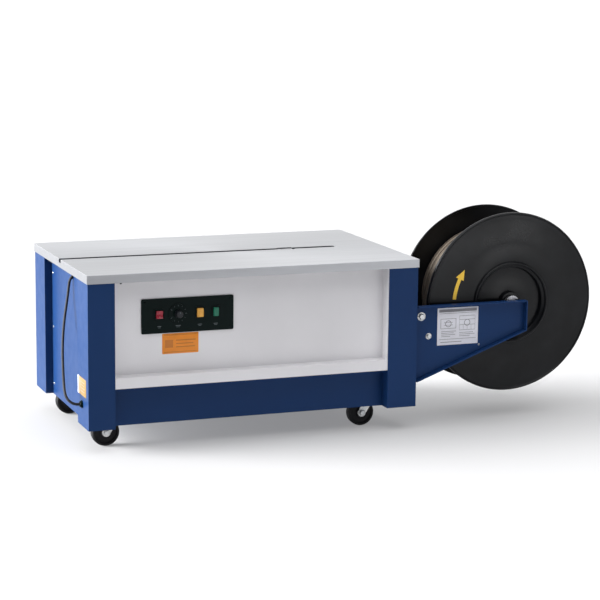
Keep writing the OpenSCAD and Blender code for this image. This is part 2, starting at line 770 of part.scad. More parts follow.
module seat() difference() {
  y = reel_y - arm_in;
  span([reel_x - 24, y, reel_z - 40], [reel_x + 24, y + seat_t, reel_z + 10]);
  rod_y(reel_x, y - 1, y + seat_t + 1, reel_z, shaft_d / 2 + run);
  mouth = shaft_d / 2 + run;
  span([reel_x - mouth, y - 1, reel_z], [reel_x + mouth, y + seat_t + 1, reel_z + 20]);
}

// The shaft and the two collars that hold the reel in place on it
module reel_shaft() color("silver") on_shaft() {
  translate([0, 0, -arm_in + gap]) cylinder(d = shaft_d, h = 2 * (arm_in - gap));
  for (side = [0, 1]) mirror([0, 0, side])
    translate([0, 0, boss_out + gap]) cylinder(r = collar_r, h = collar_t);
}

// Half section of a flange, x outwards and y along the shaft away from the reel's middle
module flange_section() {
  bore = shaft_d / 2 + run;
  cup_r = core_r - core_t - gap;
  rim_in = reel_r - rim_t;
  cup_floor = web_out - cup_depth;
  translate([cup_r - cup_t, web_out - web_t]) square([dish_r - cup_r + cup_t, web_t]);
  polygon([[dish_r - 1, web_out - web_t], [dish_r, web_out - web_t], [reel_r - 2, web_out - web_t - dish],
    [reel_r - 2, web_out - dish], [dish_r, web_out], [dish_r - 1, web_out]]);
  translate([rim_in, web_out - dish - web_t - 2]) square([rim_t - 1.5, rim_w]);
  translate([rim_in, web_out - dish - web_t]) square([rim_t, rim_w - 4]);
  translate([lip_r - lip_t, web_out - web_t]) square([lip_t, web_t + lip_h - 2]);
  translate([lip_r - lip_t + 1.5, web_out - web_t]) square([lip_t - 3, web_t + lip_h]);
  translate([cup_r - cup_t, cup_floor]) square([cup_t, cup_depth]);
  translate([bore, cup_floor]) square([cup_r - bore, cup_t]);
  translate([bore, cup_floor - 8]) square([boss_r - bore, boss_out - cup_floor + 8]);
}

module front_flange() color("black") on_shaft() mirror([0, 0, 1])
  rotate_extrude($fn = 128) flange_section();
module rear_flange() color("black") on_shaft() rotate_extrude($fn = 128) flange_section();

// The card tube on which the strap is wound; it seats over the flanges' cups
module reel_core() color("tan") on_shaft() ring(core_r - core_t, core_r, 2 * (web_out - web_t - fit));

// The wound strap between the flanges
module strap_coil() color("peru") on_shaft()
  ring(core_r + 0.1, coil_d / 2, 2 * (web_out - web_t - 3), $fn = 128);

// A tube about the shaft, centred on the reel's middle
module ring(r0, r1, l) translate([0, 0, -l / 2]) difference() {
  cylinder(r = r1, h = l);
  translate([0, 0, -1]) cylinder(r = r0, h = l + 2);
}

// ---------------------------------------------------------------- strap feed

// A plastic guide in the right panel, through which the strap enters
module strap_guide() color("ivory") cab() difference() {
  union() {
    span([side_x - 14, reel_y - 19.5, feed_z - 13.5], [side_x, reel_y + 19.5, feed_z + 13.5]);
    span([side_x, reel_y - 26, feed_z - 20], [side_x + 8, reel_y + 26, feed_z + 20]);
  }
  span([side_x - 15, reel_y - 10, feed_z - 3], [side_x + 9, reel_y + 10, feed_z + 3]);
}

// The pool box keeps a loose supply of strap; it is open at the top
module pool_box() color("aliceblue") cab() difference() {
  span([pool_x - pool_l / 2, reel_y - pool_w / 2, pan_top],
       [pool_x + pool_l / 2, reel_y + pool_w / 2, pool_z + pool_h]);
  span([pool_x - pool_l / 2 + 2, reel_y - pool_w / 2 + 2, pool_z],
       [pool_x + pool_l / 2 - 2, reel_y + pool_w / 2 - 2, pool_z + pool_h + 1]);
}

// A plate on the pan that carries the two feed rollers, with the feed motor behind it
feed_plate_y = reel_y + roller_w / 2 + 1;
pinch_z = feed_z + pinch_r + 0.5;
module feed_bracket() color("dimgray") cab() difference() {
  union() {
    span([feed_x_mid - feed_plate_half, feed_plate_y, pan_top],
         [feed_x_mid + feed_plate_half, feed_plate_y + feed_plate_t, feed_plate_top]);
    span([feed_x_mid - feed_plate_half, feed_plate_y, pan_top],
         [feed_x_mid + feed_plate_half, feed_plate_y + feed_plate_half, pan_top + 5]);
    rod_y(feed_x_mid, feed_plate_y, feed_plate_y + feed_motor_l, feed_z - feed_r, feed_motor_r);
  }
  rod_y(feed_x_mid, feed_plate_y - 1, feed_plate_y + 30, feed_z - feed_r, 5 + run);
  rod_y(feed_x_mid, feed_plate_y - 1, feed_plate_y + feed_plate_t + 1, pinch_z, 4 + run);
}

module feed_roller() color("saddlebrown") cab() roller(feed_z - feed_r, feed_r, 5, 28);
module pinch_roller() color("silver") cab() roller(pinch_z, pinch_r, 4, feed_plate_t + 3);

// A roller on its own shaft; the shaft runs back into the bracket
module roller(z, r, shaft_r, reach) {
  rod_y(feed_x_mid, reel_y - roller_w / 2, reel_y + roller_w / 2, z, r);
  rod_y(feed_x_mid, reel_y - roller_w / 2 - 3, feed_plate_y + reach, z, shaft_r);
}

// ---------------------------------------------------------------- sealing head

// The head's frame: a block with three channels, decks for the blade and the slide, and two legs
slide_tail = 90;
tail_half = 12;                // half the width of the slide plate's tail
deck_half = 24;                // half the width of the decks for the blade and the slide
deck_z = block_top - 30;
module head_frame() color("dimgray") cab() translate([head_x, slot_y, 0]) difference() {
  union() {
    span([-head_half, -head_deep, block_z], [head_half, head_deep, block_top]);
    for (x = [-head_half, head_half - leg_t])
      span([x, -head_deep, pan_top], [x + leg_t, head_deep, block_top]);
    span([-deck_half, head_deep - 1, deck_z], [deck_half, slide_tail + 30, slide_z - gap]);
    span([-deck_half, -head_deep - 46, deck_z], [deck_half, -head_deep + 1, blade_z - gap]);
    for (x = [-deck_half, tail_half + 1])
      span([x, slide_tail - 36, slide_z - 10],
           [x + deck_half - tail_half - 1, slide_tail + 30, slide_top - 2]);
  }
  for (i = [-1, 0, 1])
    span([i * channel_pitch - slider_x / 2 - fit, -slider_y / 2 - fit, block_z - 1],
         [i * channel_pitch + slider_x / 2 + fit, slider_y / 2 + fit, block_top + 1]);
  rod_x(-head_half - 1, head_half + 1, 0, cam_z, cam_d / 2 + run);
}

// A bar that rides up and down in its channel above its cam
module slider(i) span([head_x + i * channel_pitch - slider_x / 2, slot_y - slider_y / 2, foot_z],
  [head_x + i * channel_pitch + slider_x / 2, slot_y + slider_y / 2, slider_top]);

module left_gripper() color("silver") cab() serrated() slider(-1);
module right_gripper() color("silver") cab() serrated() slider(1);
module press_platen() color("silver") cab() slider(0);

// Cuts gripping grooves across the top of a slider
module serrated() difference() {
  children();
  for (i = [-4:4]) span([head_x - 40, slot_y + i * 2.4 - 0.4, slider_top - 0.8],
    [head_x + 40, slot_y + i * 2.4 + 0.4, slider_top + 1]);
}

// The anvil over the grippers, with a tail that slides between the frame's guides
module slide_plate() color("silver") cab() translate([head_x, slot_y, 0]) {
  span([-20, -15, slide_z], [20, 24, slide_top]);
  span([-tail_half, 23, slide_z], [tail_half, slide_tail, slide_top - 1]);
}

// The heated blade on its holder, drawn back in front of the strap
module heater_blade() color("darkorange") cab() translate([head_x, slot_y, 0]) {
  span([-8, -head_deep - 30, blade_z], [8, -slider_y / 2 - 4, blade_z + blade_t]);
  span([-13, -head_deep - 44, blade_z], [13, -head_deep - 16, slide_top - 1]);
}

// The cam shaft runs from the gearbox through both legs and carries four cams
module cam_shaft() color("silver") cab() {
  rod_x(gearbox_x + gearbox_l - 10, head_x + head_half + 6, slot_y, cam_z, cam_d / 2);
  for (i = [-1:2]) translate([head_x + i * channel_pitch - 5, slot_y, cam_z]) rotate([i * 90, 0, 0]) cam();
}

// One cam: a round base with a lobe, 10 thick along X
module cam() along_x() linear_extrude(10) {
  base_r = cam_r - 6;
  circle(r = base_r);
  translate([0, 6]) circle(r = cam_r - 6);
}

// ---------------------------------------------------------------- drive

module gearbox() color("slategray") cab() difference() {
  union() {
    span([gearbox_x, slot_y - gearbox_r, cam_z - gearbox_r],
         [gearbox_x + gearbox_l, slot_y + gearbox_r, cam_z + gearbox_r]);
    for (x = [gearbox_x + 8, gearbox_x + gearbox_l - 16])
      span([x, slot_y - gearbox_r, pan_top], [x + 8, slot_y + gearbox_r, cam_z - gearbox_r]);
    span([gearbox_x + 8, slot_y - gearbox_r, pan_top],
         [gearbox_x + gearbox_l - 8, slot_y + gearbox_r, pan_top + 6]);
  }
  rod_x(gearbox_x + gearbox_l - 12, gearbox_x + gearbox_l + 1, slot_y, cam_z, cam_d / 2 + run);
  rod_x(gearbox_x - 1, gearbox_x + stub_l, slot_y, cam_z, stub_d / 2 + run);
}

// A grooved pulley; its belt lies on radius r
module pulley(r, z) translate([pulley_x, slot_y, z]) along_x() {
  cylinder(r = r + 4, h = 2);
  cylinder(r = r, h = pulley_w);
  translate([0, 0, pulley_w - 2]) cylinder(r = r + 4, h = 2);
}

module gearbox_pulley() color("silver") cab() {
  pulley(pulley_large_r, cam_z);
  rod_x(pulley_x, gearbox_x + stub_l - 2, slot_y, cam_z, stub_d / 2);
}

// The motor on its saddle, with its own pulley on the shaft
module drive_motor() color("steelblue") cab() difference() {
  union() {
    rod_x(motor_end - motor_l, motor_end, slot_y, motor_z, motor_r);
    span([motor_end - motor_l + 30, slot_y - 50, pan_top],
         [motor_end - 30, slot_y + 50, motor_z - 0.6 * motor_r]);
    span([motor_end - 150, slot_y + 30, motor_z + 10],
         [motor_end - 60, slot_y + motor_r + 20, motor_z + 60]);
  }
  rod_x(motor_end - stub_l, motor_end + 1, slot_y, motor_z, stub_d / 2 + run);
}

module motor_pulley() color("silver") cab() {
  pulley(pulley_small_r, motor_z);
  rod_x(motor_end - stub_l + 2, pulley_x + 1, slot_y, motor_z, stub_d / 2);
}

// The belt round both pulleys
module drive_belt() color("black") cab()
  translate([pulley_x + 2 + gap, slot_y, 0]) rotate([90, 0, 90]) linear_extrude(pulley_w - 4 - 2 * gap)
    difference() {
      belt_line(gap + belt_t);
      belt_line(gap);
    }

// The area inside a belt that lies c outside both pulleys
module belt_line(c) hull() {
  translate([0, motor_z]) circle(r = pulley_small_r + c);
  translate([0, cam_z]) circle(r = pulley_large_r + c);
}

base_pan();
front_left_post();
front_right_post();
rear_posts();
front_rail();
rear_rail();
front_cover();
rear_cover();
left_panel();
right_panel();
table_top();
hinge_bases();
hinge_leaves();
control_panel();
control_bezels();
power_rocker();
timer_knob();
feed_button();
reset_button();
control_box();
labels();
cable_gland();
power_cord();
mains_box();
caster_plates();
caster_fork_1();
caster_fork_2();
caster_fork_3();
caster_fork_4();
caster_wheel_1();
caster_wheel_2();
caster_wheel_3();
caster_wheel_4();
front_arm();
rear_arm();
arm_brackets();
arm_bolts();
shaft_seats();
reel_shaft();
front_flange();
rear_flange();
reel_core();
strap_coil();
strap_guide();
pool_box();
feed_bracket();
feed_roller();
pinch_roller();
head_frame();
slide_plate();
left_gripper();
press_platen();
right_gripper();
heater_blade();
cam_shaft();
gearbox();
gearbox_pulley();
drive_motor();
motor_pulley();
drive_belt();
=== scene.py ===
"""Semi-automatic strapping machine: pieces, materials, light and camera, in metres."""
import json
import math
from math import cos, pi, radians, sin

import bmesh
import bpy
from mathutils import Matrix, Vector


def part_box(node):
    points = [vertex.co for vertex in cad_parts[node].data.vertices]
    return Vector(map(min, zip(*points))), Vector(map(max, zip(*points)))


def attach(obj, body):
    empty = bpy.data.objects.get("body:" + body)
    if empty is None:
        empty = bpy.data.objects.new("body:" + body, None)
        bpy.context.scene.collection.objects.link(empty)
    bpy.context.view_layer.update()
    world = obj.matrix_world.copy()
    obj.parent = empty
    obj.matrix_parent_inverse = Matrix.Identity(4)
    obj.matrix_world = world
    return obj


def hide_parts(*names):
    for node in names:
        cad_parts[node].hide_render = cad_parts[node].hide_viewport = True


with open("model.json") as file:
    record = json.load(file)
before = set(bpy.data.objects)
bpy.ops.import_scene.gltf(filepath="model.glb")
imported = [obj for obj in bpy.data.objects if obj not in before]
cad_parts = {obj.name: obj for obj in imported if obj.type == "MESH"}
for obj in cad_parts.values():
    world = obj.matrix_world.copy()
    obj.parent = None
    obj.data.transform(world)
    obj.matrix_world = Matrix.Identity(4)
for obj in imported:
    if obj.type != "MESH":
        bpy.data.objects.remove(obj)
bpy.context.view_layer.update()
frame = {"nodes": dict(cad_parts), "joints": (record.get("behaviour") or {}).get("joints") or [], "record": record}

NODES = frame["nodes"]


def centre(node):
    """Middle of a CAD node's box."""
    low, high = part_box(node)
    return (Vector(low) + Vector(high)) / 2


# ---------------------------------------------------------------- camera

CAMERA_PLACE = Vector((-1.9754, -5.1013, 1.3008))
CAMERA_AZIMUTH = radians(-20.71)
CAMERA_ELEVATION = radians(10.26)
CAMERA_ROLL = radians(0.58)
CAMERA_LENS = 121.6


def make_camera():
    """The camera at the photograph's angle, turned by its small roll."""
    az, el = CAMERA_AZIMUTH, CAMERA_ELEVATION
    back = Vector((sin(az) * cos(el), -cos(az) * cos(el), sin(el)))
    right = (-back).cross(Vector((0, 0, 1))).normalized()
    up = right.cross(-back)
    turned_right = right * cos(CAMERA_ROLL) + up * sin(CAMERA_ROLL)
    turned_up = up * cos(CAMERA_ROLL) - right * sin(CAMERA_ROLL)
    data = bpy.data.cameras.new("camera")
    data.lens = CAMERA_LENS
    data.sensor_width = 36
    data.clip_end = 100
    camera = bpy.data.objects.new("camera", data)
    axes = Matrix((turned_right, turned_up, back)).transposed()
    camera.matrix_world = Matrix.Translation(CAMERA_PLACE) @ axes.to_4x4()
    bpy.context.scene.collection.objects.link(camera)
    bpy.context.scene.camera = camera


make_camera()


# ---------------------------------------------------------------- materials

class Surface:
    """A Principled material with a few procedural layers."""

    def __init__(self, name, color, rough, metal=0.0, **sockets):
        self.mat = bpy.data.materials.new(name)
        self.mat.use_nodes = True
        self.tree = self.mat.node_tree
        self.bsdf = self.tree.nodes["Principled BSDF"]
        self.heights = []
        self.set("Base Color", (*color, 1))
        self.set("Roughness", rough)
        self.set("Metallic", metal)
        for key, value in sockets.items():
            self.set(key.replace("_", " "), value)

    def set(self, socket, value):
        self.bsdf.inputs[socket].default_value = value

    def node(self, kind, **inputs):
        """A new node, with its inputs set or linked."""
        made = self.tree.nodes.new(kind)
        for key, value in inputs.items():
            socket = made.inputs[key.replace("_", " ")]
            if isinstance(value, bpy.types.NodeSocket):
                self.tree.links.new(value, socket)
            else:
                socket.default_value = value
        return made

    def place(self, stretch=(1, 1, 1), shift=(0, 0, 0)):
        """Object coordinates, stretched and shifted."""
        coords = self.tree.nodes.new("ShaderNodeTexCoord").outputs["Object"]
        mapping = self.node("ShaderNodeMapping", Vector=coords, Scale=stretch, Location=shift)
        return mapping.outputs["Vector"]

    def noise(self, scale, detail, stretch=(1, 1, 1)):
        """Noise in object coordinates."""
        place = self.place(stretch)
        made = self.node("ShaderNodeTexNoise", Vector=place, Scale=scale, Detail=detail)
        return made.outputs["Fac"]

    def spread(self, value, low, high, start=0.3, end=0.7):
        """A number between low and high as value goes from start to end."""
        made = self.node("ShaderNodeMapRange", Value=value)
        limits = {"From Min": start, "From Max": end, "To Min": low, "To Max": high}
        for key, number in limits.items():
            made.inputs[key].default_value = number
        return made.outputs["Result"]

    def tint(self, value, low, high, start=0.3, end=0.7):
        """Colour that runs from low to high as value goes from start to end."""
        made = self.tree.nodes.new("ShaderNodeValToRGB")
        made.color_ramp.elements[0].position = start
        made.color_ramp.elements[1].position = end
        made.color_ramp.elements[0].color = (*low, 1)
        made.color_ramp.elements[1].color = (*high, 1)
        self.tree.links.new(value, made.inputs["Fac"])
        return made.outputs["Color"]

    def paint(self, color):
        """Gives the surface a varying colour."""
        self.tree.links.new(color, self.bsdf.inputs["Base Color"])

    def gloss(self, value, low, high, start=0.3, end=0.7):
        """Lets the roughness run from low to high."""
        rough = self.spread(value, low, high, start, end)
        self.tree.links.new(rough, self.bsdf.inputs["Roughness"])

    def bump(self, height, strength, distance):
        """Adds one layer of relief on top of those already there."""
        made = self.node("ShaderNodeBump", Height=height, Strength=strength, Distance=distance)
        if self.heights:
            self.tree.links.new(self.heights[-1], made.inputs["Normal"])
        self.heights.append(made.outputs["Normal"])
        self.tree.links.new(made.outputs["Normal"], self.bsdf.inputs["Normal"])


def scaled(color, factor):
    """A colour made brighter or darker."""
    return tuple(min(1.0, c * factor) for c in color)


def powder_coat(name, color, rough=0.38, spec=0.10):
    """Baked paint: an orange-peel relief, faint clouds and a scatter of dust and rubs."""
    s = Surface(name, color, rough, Specular_IOR_Level=spec)
    clouds = s.noise(2.2, 4)
    s.paint(s.tint(clouds, scaled(color, 0.93), scaled(color, 1.08)))
    rubs = s.noise(38, 6)
    s.gloss(rubs, rough - 0.03, rough + 0.04)
    s.bump(s.noise(420, 2), 0.10, 0.0004)
    s.bump(s.noise(9, 3), 0.04, 0.004)
    return s.mat


def brushed(name, color, rough=0.30, along="x", streak=1.0, shade_below=None):
    """Brushed metal with fine streaks along one axis; below a given height its colour is darkened, painted shade
    for the dark floor that the folded apron reflects.
    """
    s = Surface(name, color, rough, 1.0, Anisotropic=0.35)
    fine = {"x": (1.2, 260, 260), "y": (260, 1.2, 260), "z": (260, 260, 1.2)}[along]
    broad = {"x": (0.7, 26, 26), "y": (26, 0.7, 26), "z": (26, 26, 0.7)}[along]
    lines = s.noise(3.0, 5, fine)
    bands = s.noise(2.0, 3, broad)
    streaks = s.tint(bands, scaled(color, 1 - 0.06 * streak), scaled(color, 1 + 0.04 * streak))
    if shade_below:
        # Painted shade: below the given height the colour is scaled down, standing in for the dark floor that the
        # apron reflects.
        height = s.node("ShaderNodeSeparateXYZ", Vector=s.place()).outputs["Z"]
        dull = s.tree.nodes.new("ShaderNodeVectorMath")
        dull.operation = "SCALE"
        s.tree.links.new(streaks, dull.inputs[0])
        shade_share = s.spread(height, 0.66, 1.0, shade_below - 0.0012, shade_below - 0.0004)
        s.tree.links.new(shade_share, dull.inputs["Scale"])
        streaks = dull.outputs["Vector"]
    s.paint(streaks)
    s.gloss(lines, rough - 0.05, rough + 0.09)
    s.bump(lines, 0.10 * streak, 0.0002)
    return s.mat


def moulded(name, color, rough, spec=0.5):
    """Moulded plastic with a faint flow pattern and fine grain."""
    s = Surface(name, color, rough, Specular_IOR_Level=spec)
    flow = s.noise(6, 4)
    s.paint(s.tint(flow, scaled(color, 0.88), scaled(color, 1.16)))
    s.gloss(s.noise(24, 5), rough - 0.03, rough + 0.06)
    s.bump(s.noise(700, 2), 0.06, 0.0003)
    return s.mat


def zinc():
    """Bright zinc plating with its patchy passivation."""
    s = Surface("zinc_plate", (0.66, 0.67, 0.69), 0.30, 1.0)
    patches = s.noise(70, 5)
    s.paint(s.tint(patches, (0.38, 0.40, 0.42), (0.60, 0.60, 0.59)))
    s.gloss(s.noise(190, 3), 0.22, 0.42)
    s.bump(s.noise(500, 2), 0.10, 0.0002)
    return s.mat


def rubber(name, color=(0.0045, 0.0045, 0.0055)):
    """Dull rubber with dust in its pores."""
    s = Surface(name, color, 0.55, Specular_IOR_Level=0.2)
    dust = s.noise(60, 6)
    s.paint(s.tint(dust, color, scaled(color, 2.4), 0.45, 0.85))
    s.gloss(dust, 0.48, 0.68)
    s.bump(s.noise(650, 3), 0.15, 0.0004)
    return s.mat


def cast_metal(name, color):
    """A sand-cast face: coarse relief and a dull, uneven skin."""
    s = Surface(name, color, 0.55, 0.75)
    skin = s.noise(110, 6)
    s.paint(s.tint(skin, scaled(color, 0.75), scaled(color, 1.2)))
    s.gloss(skin, 0.45, 0.68)
    s.bump(skin, 0.45, 0.0008)
    return s.mat


def reel_plastic():
    """Black glossy reel: long soft moulding waves, hair scratches and dust."""
    color = (0.0035, 0.0040, 0.0050)
    s = Surface("reel_black", color, 0.26, Specular_IOR_Level=0.20)
    dust = s.noise(16, 6)
    s.paint(s.tint(dust, color, (0.008, 0.009, 0.011), 0.4, 0.8))
    s.gloss(s.noise(5, 5), 0.26, 0.40)
    s.bump(s.noise(3.5, 2), 0.08, 0.004)
    s.bump(s.noise(600, 2), 0.05, 0.0002)
    return s.mat


def strap_wound(shaft):
    """Wound polypropylene strap: thin layers at the sides, bands across the outside."""
    s = Surface("strap_wound", (0.13, 0.11, 0.085), 0.42, Specular_IOR_Level=0.4)
    place = s.place(shift=tuple(-c for c in shaft))
    parts = s.node("ShaderNodeSeparateXYZ", Vector=place)
    flat = s.node("ShaderNodeCombineXYZ", X=parts.outputs["X"], Z=parts.outputs["Z"])
    length = s.tree.nodes.new("ShaderNodeVectorMath")
    length.operation = "LENGTH"
    s.tree.links.new(flat.outputs["Vector"], length.inputs[0])
    layers = s.node("ShaderNodeCombineXYZ", X=length.outputs["Value"], Y=parts.outputs["Y"])
    wound = s.node("ShaderNodeTexNoise", Vector=layers.outputs["Vector"], Scale=230.0, Detail=5.0)
    s.paint(s.tint(wound.outputs["Fac"], (0.060, 0.045, 0.038), (0.20, 0.17, 0.13), 0.3, 0.72))
    s.bump(wound.outputs["Fac"], 0.5, 0.0010)
    return s.mat


def cardboard():
    """Pressed card with faint fibres."""
    s = Surface("core_card", (0.36, 0.25, 0.16), 0.85)
    fibre = s.noise(60, 7, (1, 0.2, 1))
    s.paint(s.tint(fibre, (0.28, 0.19, 0.12), (0.44, 0.32, 0.21)))
    s.bump(fibre, 0.3, 0.0006)
    return s.mat


def printed(name, color):
    """Sticker film with a slight sheen and faint creases."""
    s = Surface(name, color, 0.38, Specular_IOR_Level=0.3)
    crease = s.noise(35, 4)
    s.paint(s.tint(crease, scaled(color, 0.93), scaled(color, 1.04)))
    s.bump(crease, 0.08, 0.001)
    return s.mat


def lens(name, color):
    """A coloured translucent cap with moulded ribs inside."""
    s = Surface(name, color, 0.25, Specular_IOR_Level=0.3, Coat_Weight=0.1, Coat_Roughness=0.1,
                Transmission_Weight=0.1)
    ribs = s.noise(90, 2, (1, 1, 0.1))
    s.paint(s.tint(ribs, scaled(color, 0.8), scaled(color, 1.15)))
    return s.mat


NAVY = (0.0080, 0.0330, 0.1120)
SHAFT = centre("reel_shaft")
MATS = {
    "navy_paint": powder_coat("navy_paint", NAVY),
    "cream_paint": powder_coat("cream_paint", (0.75, 0.74, 0.76), 0.42, 0.3),
    # The stainless below the upper face of the table top gets painted shade.
    "stainless": brushed("stainless", (0.53, 0.54, 0.565), 0.34, shade_below=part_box("table_top")[1][2]),
    "panel_black": moulded("panel_black", (0.0010, 0.0060, 0.0055), 0.32, spec=0.08),
    "rocker_red": lens("rocker_red", (0.34, 0.026, 0.045)),
    "knob_grey": moulded("knob_grey", (0.012, 0.014, 0.018), 0.30, spec=0.3),
    "button_amber": lens("button_amber", (0.84, 0.42, 0.07)),
    "button_green": lens("button_green", (0.010, 0.17, 0.10)),
    "label_paper": printed("label_paper", (0.78, 0.26, 0.030)),
    "zinc": zinc(),
    "caster_rubber": rubber("caster_rubber"),
    "steel": brushed("steel", (0.52, 0.52, 0.54), 0.28, "z", 0.7),
    "reel_black": reel_plastic(),
    "core_card": cardboard(),
    "strap": strap_wound(SHAFT),
    "seat_black": powder_coat("seat_black", (0.020, 0.020, 0.023), 0.45),
    "guide_nylon": moulded("guide_nylon", (0.66, 0.64, 0.58), 0.45),
    "pool_clear": moulded("pool_clear", (0.50, 0.53, 0.56), 0.30),
    "roller_rubber": rubber("roller_rubber", (0.09, 0.035, 0.018)),
    "cast_grey": cast_metal("cast_grey", (0.16, 0.17, 0.18)),
    "heater_steel": brushed("heater_steel", (0.42, 0.28, 0.18), 0.3, "y"),
    "motor_blue": powder_coat("motor_blue", (0.045, 0.085, 0.15), 0.4),
    "belt_rubber": rubber("belt_rubber", (0.014, 0.014, 0.015)),
}
WHITE_PRINT = printed("white_print", (0.78, 0.78, 0.84))
YELLOW_PRINT = printed("yellow_print", (0.24, 0.150, 0.050))
ORANGE_INK = printed("orange_ink", (0.52, 0.17, 0.025))
GREY_INK = printed("grey_ink", (0.20, 0.20, 0.22))
ARROW_PRINT = printed("arrow_print", (0.98, 0.62, 0.06))
PANEL_INK = printed("panel_ink", (0.10, 0.12, 0.13))
ROCKER_INK = printed("rocker_ink", (0.42, 0.12, 0.13))
# Near-black for the screws' cross recesses: painted shade where the hollow is not cut.
PAINTED_RECESS_SHADE = rubber("painted_recess_shade", (0.004, 0.004, 0.004))


# ---------------------------------------------------------------- CAD nodes

def finish_nodes():
    """Gives each CAD node its material, and sheet and machined edges a small round."""
    slots = {part["node"]: part["material_slot"] for part in frame["record"]["subparts"]}
    for name, obj in NODES.items():
        obj.data.materials.clear()
        obj.data.materials.append(MATS[slots[name]])
        if name in ("power_cord", "labels", "drive_belt"):
            continue
        bevel = obj.modifiers.new("edge", "BEVEL")
        bevel.width = EDGE.get(name, 0.0006)
        bevel.segments = 2
        bevel.limit_method = "ANGLE"
        bevel.angle_limit = radians(40)
        bevel.harden_normals = True


EDGE = {"table_top": 0.0009, "front_cover": 0.0009, "front_arm": 0.0010, "rear_arm": 0.0010,
        "control_panel": 0.0008, "drive_motor": 0.0015, "head_frame": 0.0010, "gearbox": 0.0015}
finish_nodes()


# ---------------------------------------------------------------- mesh helpers

def piece(name, verts, faces, mat, body, sharp=32):
    """A mesh piece with smooth faces and sharp creases, riding on a body."""
    mesh = bpy.data.meshes.new(name)
    mesh.from_pydata([tuple(v) for v in verts], [], faces)
    work = bmesh.new()
    work.from_mesh(mesh)
    bmesh.ops.remove_doubles(work, verts=work.verts, dist=1e-7)
    bmesh.ops.recalc_face_normals(work, faces=work.faces)
    work.to_mesh(mesh)
    work.free()
    mesh.polygons.foreach_set("use_smooth", [True] * len(mesh.polygons))
    mesh.set_sharp_from_angle(angle=radians(sharp))
    mesh.materials.append(mat)
    obj = bpy.data.objects.new(name, mesh)
    bpy.context.scene.collection.objects.link(obj)
    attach(obj, body)
    return obj


def rounded(points, radius, steps=5):
    """A closed outline with each corner turned into an arc."""
    out = []
    count = len(points)
    for i in range(count):
        p, before, after = (Vector(points[j % count]) for j in (i, i - 1, i + 1))
        to_before, to_after = (before - p), (after - p)
        angle = to_before.angle(to_after)
        reach = min(radius / math.tan(angle / 2), 0.49 * to_before.length, 0.49 * to_after.length)
        start = p + to_before.normalized() * reach
        end = p + to_after.normalized() * reach
        for k in range(steps + 1):
            t = k / steps
            out.append(tuple(start * (1 - t) ** 2 + p * 2 * t * (1 - t) + end * t ** 2))
    return out


def stacked(count, levels):
    """Faces of a solid made of rings of count corners, one above another, closed at both ends."""
    faces = []
    for k in range(levels - 1):
        for i in range(count):
            j = (i + 1) % count
            faces.append((k * count + i, k * count + j, (k + 1) * count + j, (k + 1) * count + i))
    faces.append(tuple(range(count))[::-1])
    faces.append(tuple(range((levels - 1) * count, levels * count)))
    return faces


def lathe(name, profile, place, mat, body, turn=None, segments=96, sharp=32):
    """Turns a closed profile of (radius, height) about an axis; turn takes +Z to that axis."""
    turn = turn or Matrix.Identity(3)
    verts, faces = [], []
    count = len(profile)
    for s in range(segments):
        a = 2 * pi * s / segments
        verts += [Vector(place) + turn @ Vector((r * cos(a), r * sin(a), h)) for r, h in profile]
    for s in range(segments):
        n = (s + 1) % segments
        for i in range(count):
            j = (i + 1) % count
            faces.append((s * count + i, n * count + i, n * count + j, s * count + j))
    return piece(name, verts, faces, mat, body, sharp)


TO_BACK = Matrix.Rotation(radians(-90), 3, "X")     # takes +Z to +Y
TO_FRONT = Matrix.Rotation(radians(90), 3, "X")     # takes +Z to -Y
TO_LEFT = Matrix.Rotation(radians(-90), 3, "Y")     # takes +Z to -X


def slab(name, outline, place, turn, thick, mat, body):
    """A flat outline with a small bevel, given thickness along the axis that turn takes +Z to."""
    inset = min(thick * 0.35, 0.0012)
    middle = sum((Vector(p) for p in outline), Vector((0, 0))) / len(outline)
    rings = [(0.0, 0.0), (0.0, thick - inset), (inset, thick)]
    verts = []
    for pull, height in rings:
        for p in outline:
            q = Vector(p) - (Vector(p) - middle).normalized() * pull
            verts.append(Vector(place) + turn @ Vector((q.x, q.y, height)))
    return piece(name, verts, stacked(len(outline), len(rings)), mat, body, 50)


def rectangle(w, h, r):
    """Outline of a rectangle with round corners, centred."""
    corners = [(-w / 2, -h / 2), (w / 2, -h / 2), (w / 2, h / 2), (-w / 2, h / 2)]
    return rounded(corners, r)


# ---------------------------------------------------------------- mains lead

CORD_D = 0.007
CORD_ROUTE = [(-0.7230, -0.22085, 0.1200), (-0.7270, -0.22085, 0.1200),
              (-0.7375, -0.21985, 0.1216),
              (-0.7483, -0.21575, 0.1274), (-0.7554, -0.20935, 0.1370),
              (-0.7578, -0.20185, 0.1484),
              (-0.7569, -0.19025, 0.1628), (-0.7536, -0.17245, 0.1776),
              (-0.7490, -0.15085, 0.1930),
              (-0.7445, -0.12985, 0.2140), (-0.7405, -0.11385, 0.2413),
              (-0.7350, -0.09785, 0.2755),
              (-0.7270, -0.08185, 0.3140), (-0.7185, -0.06985, 0.3490),
              (-0.7124, -0.06335, 0.3780),
              (-0.7090, -0.06085, 0.3990), (-0.7066, -0.06085, 0.4112),
              (-0.6996, -0.06085, 0.4216),
              (-0.6892, -0.06085, 0.4286), (-0.6770, -0.06085, 0.4310),
              (-0.6690, -0.06085, 0.4310)]


def make_cord():
    """The lead: out of its gland, up along the side panel and in under the table."""
    data = bpy.data.curves.new("mains_lead", "CURVE")
    data.dimensions = "3D"
    data.resolution_u = 8
    data.bevel_depth = CORD_D / 2
    data.bevel_resolution = 5
    data.use_fill_caps = True
    spline = data.splines.new("BEZIER")
    spline.bezier_points.add(len(CORD_ROUTE) - 1)
    for point, place in zip(spline.bezier_points, CORD_ROUTE):
        point.co = place
        point.handle_left_type = point.handle_right_type = "AUTO"
    data.materials.append(CORD_SKIN)
    lead = bpy.data.objects.new("mains_lead", data)
    bpy.context.scene.collection.objects.link(lead)
    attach(lead, "cabinet")
    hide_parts("power_cord")


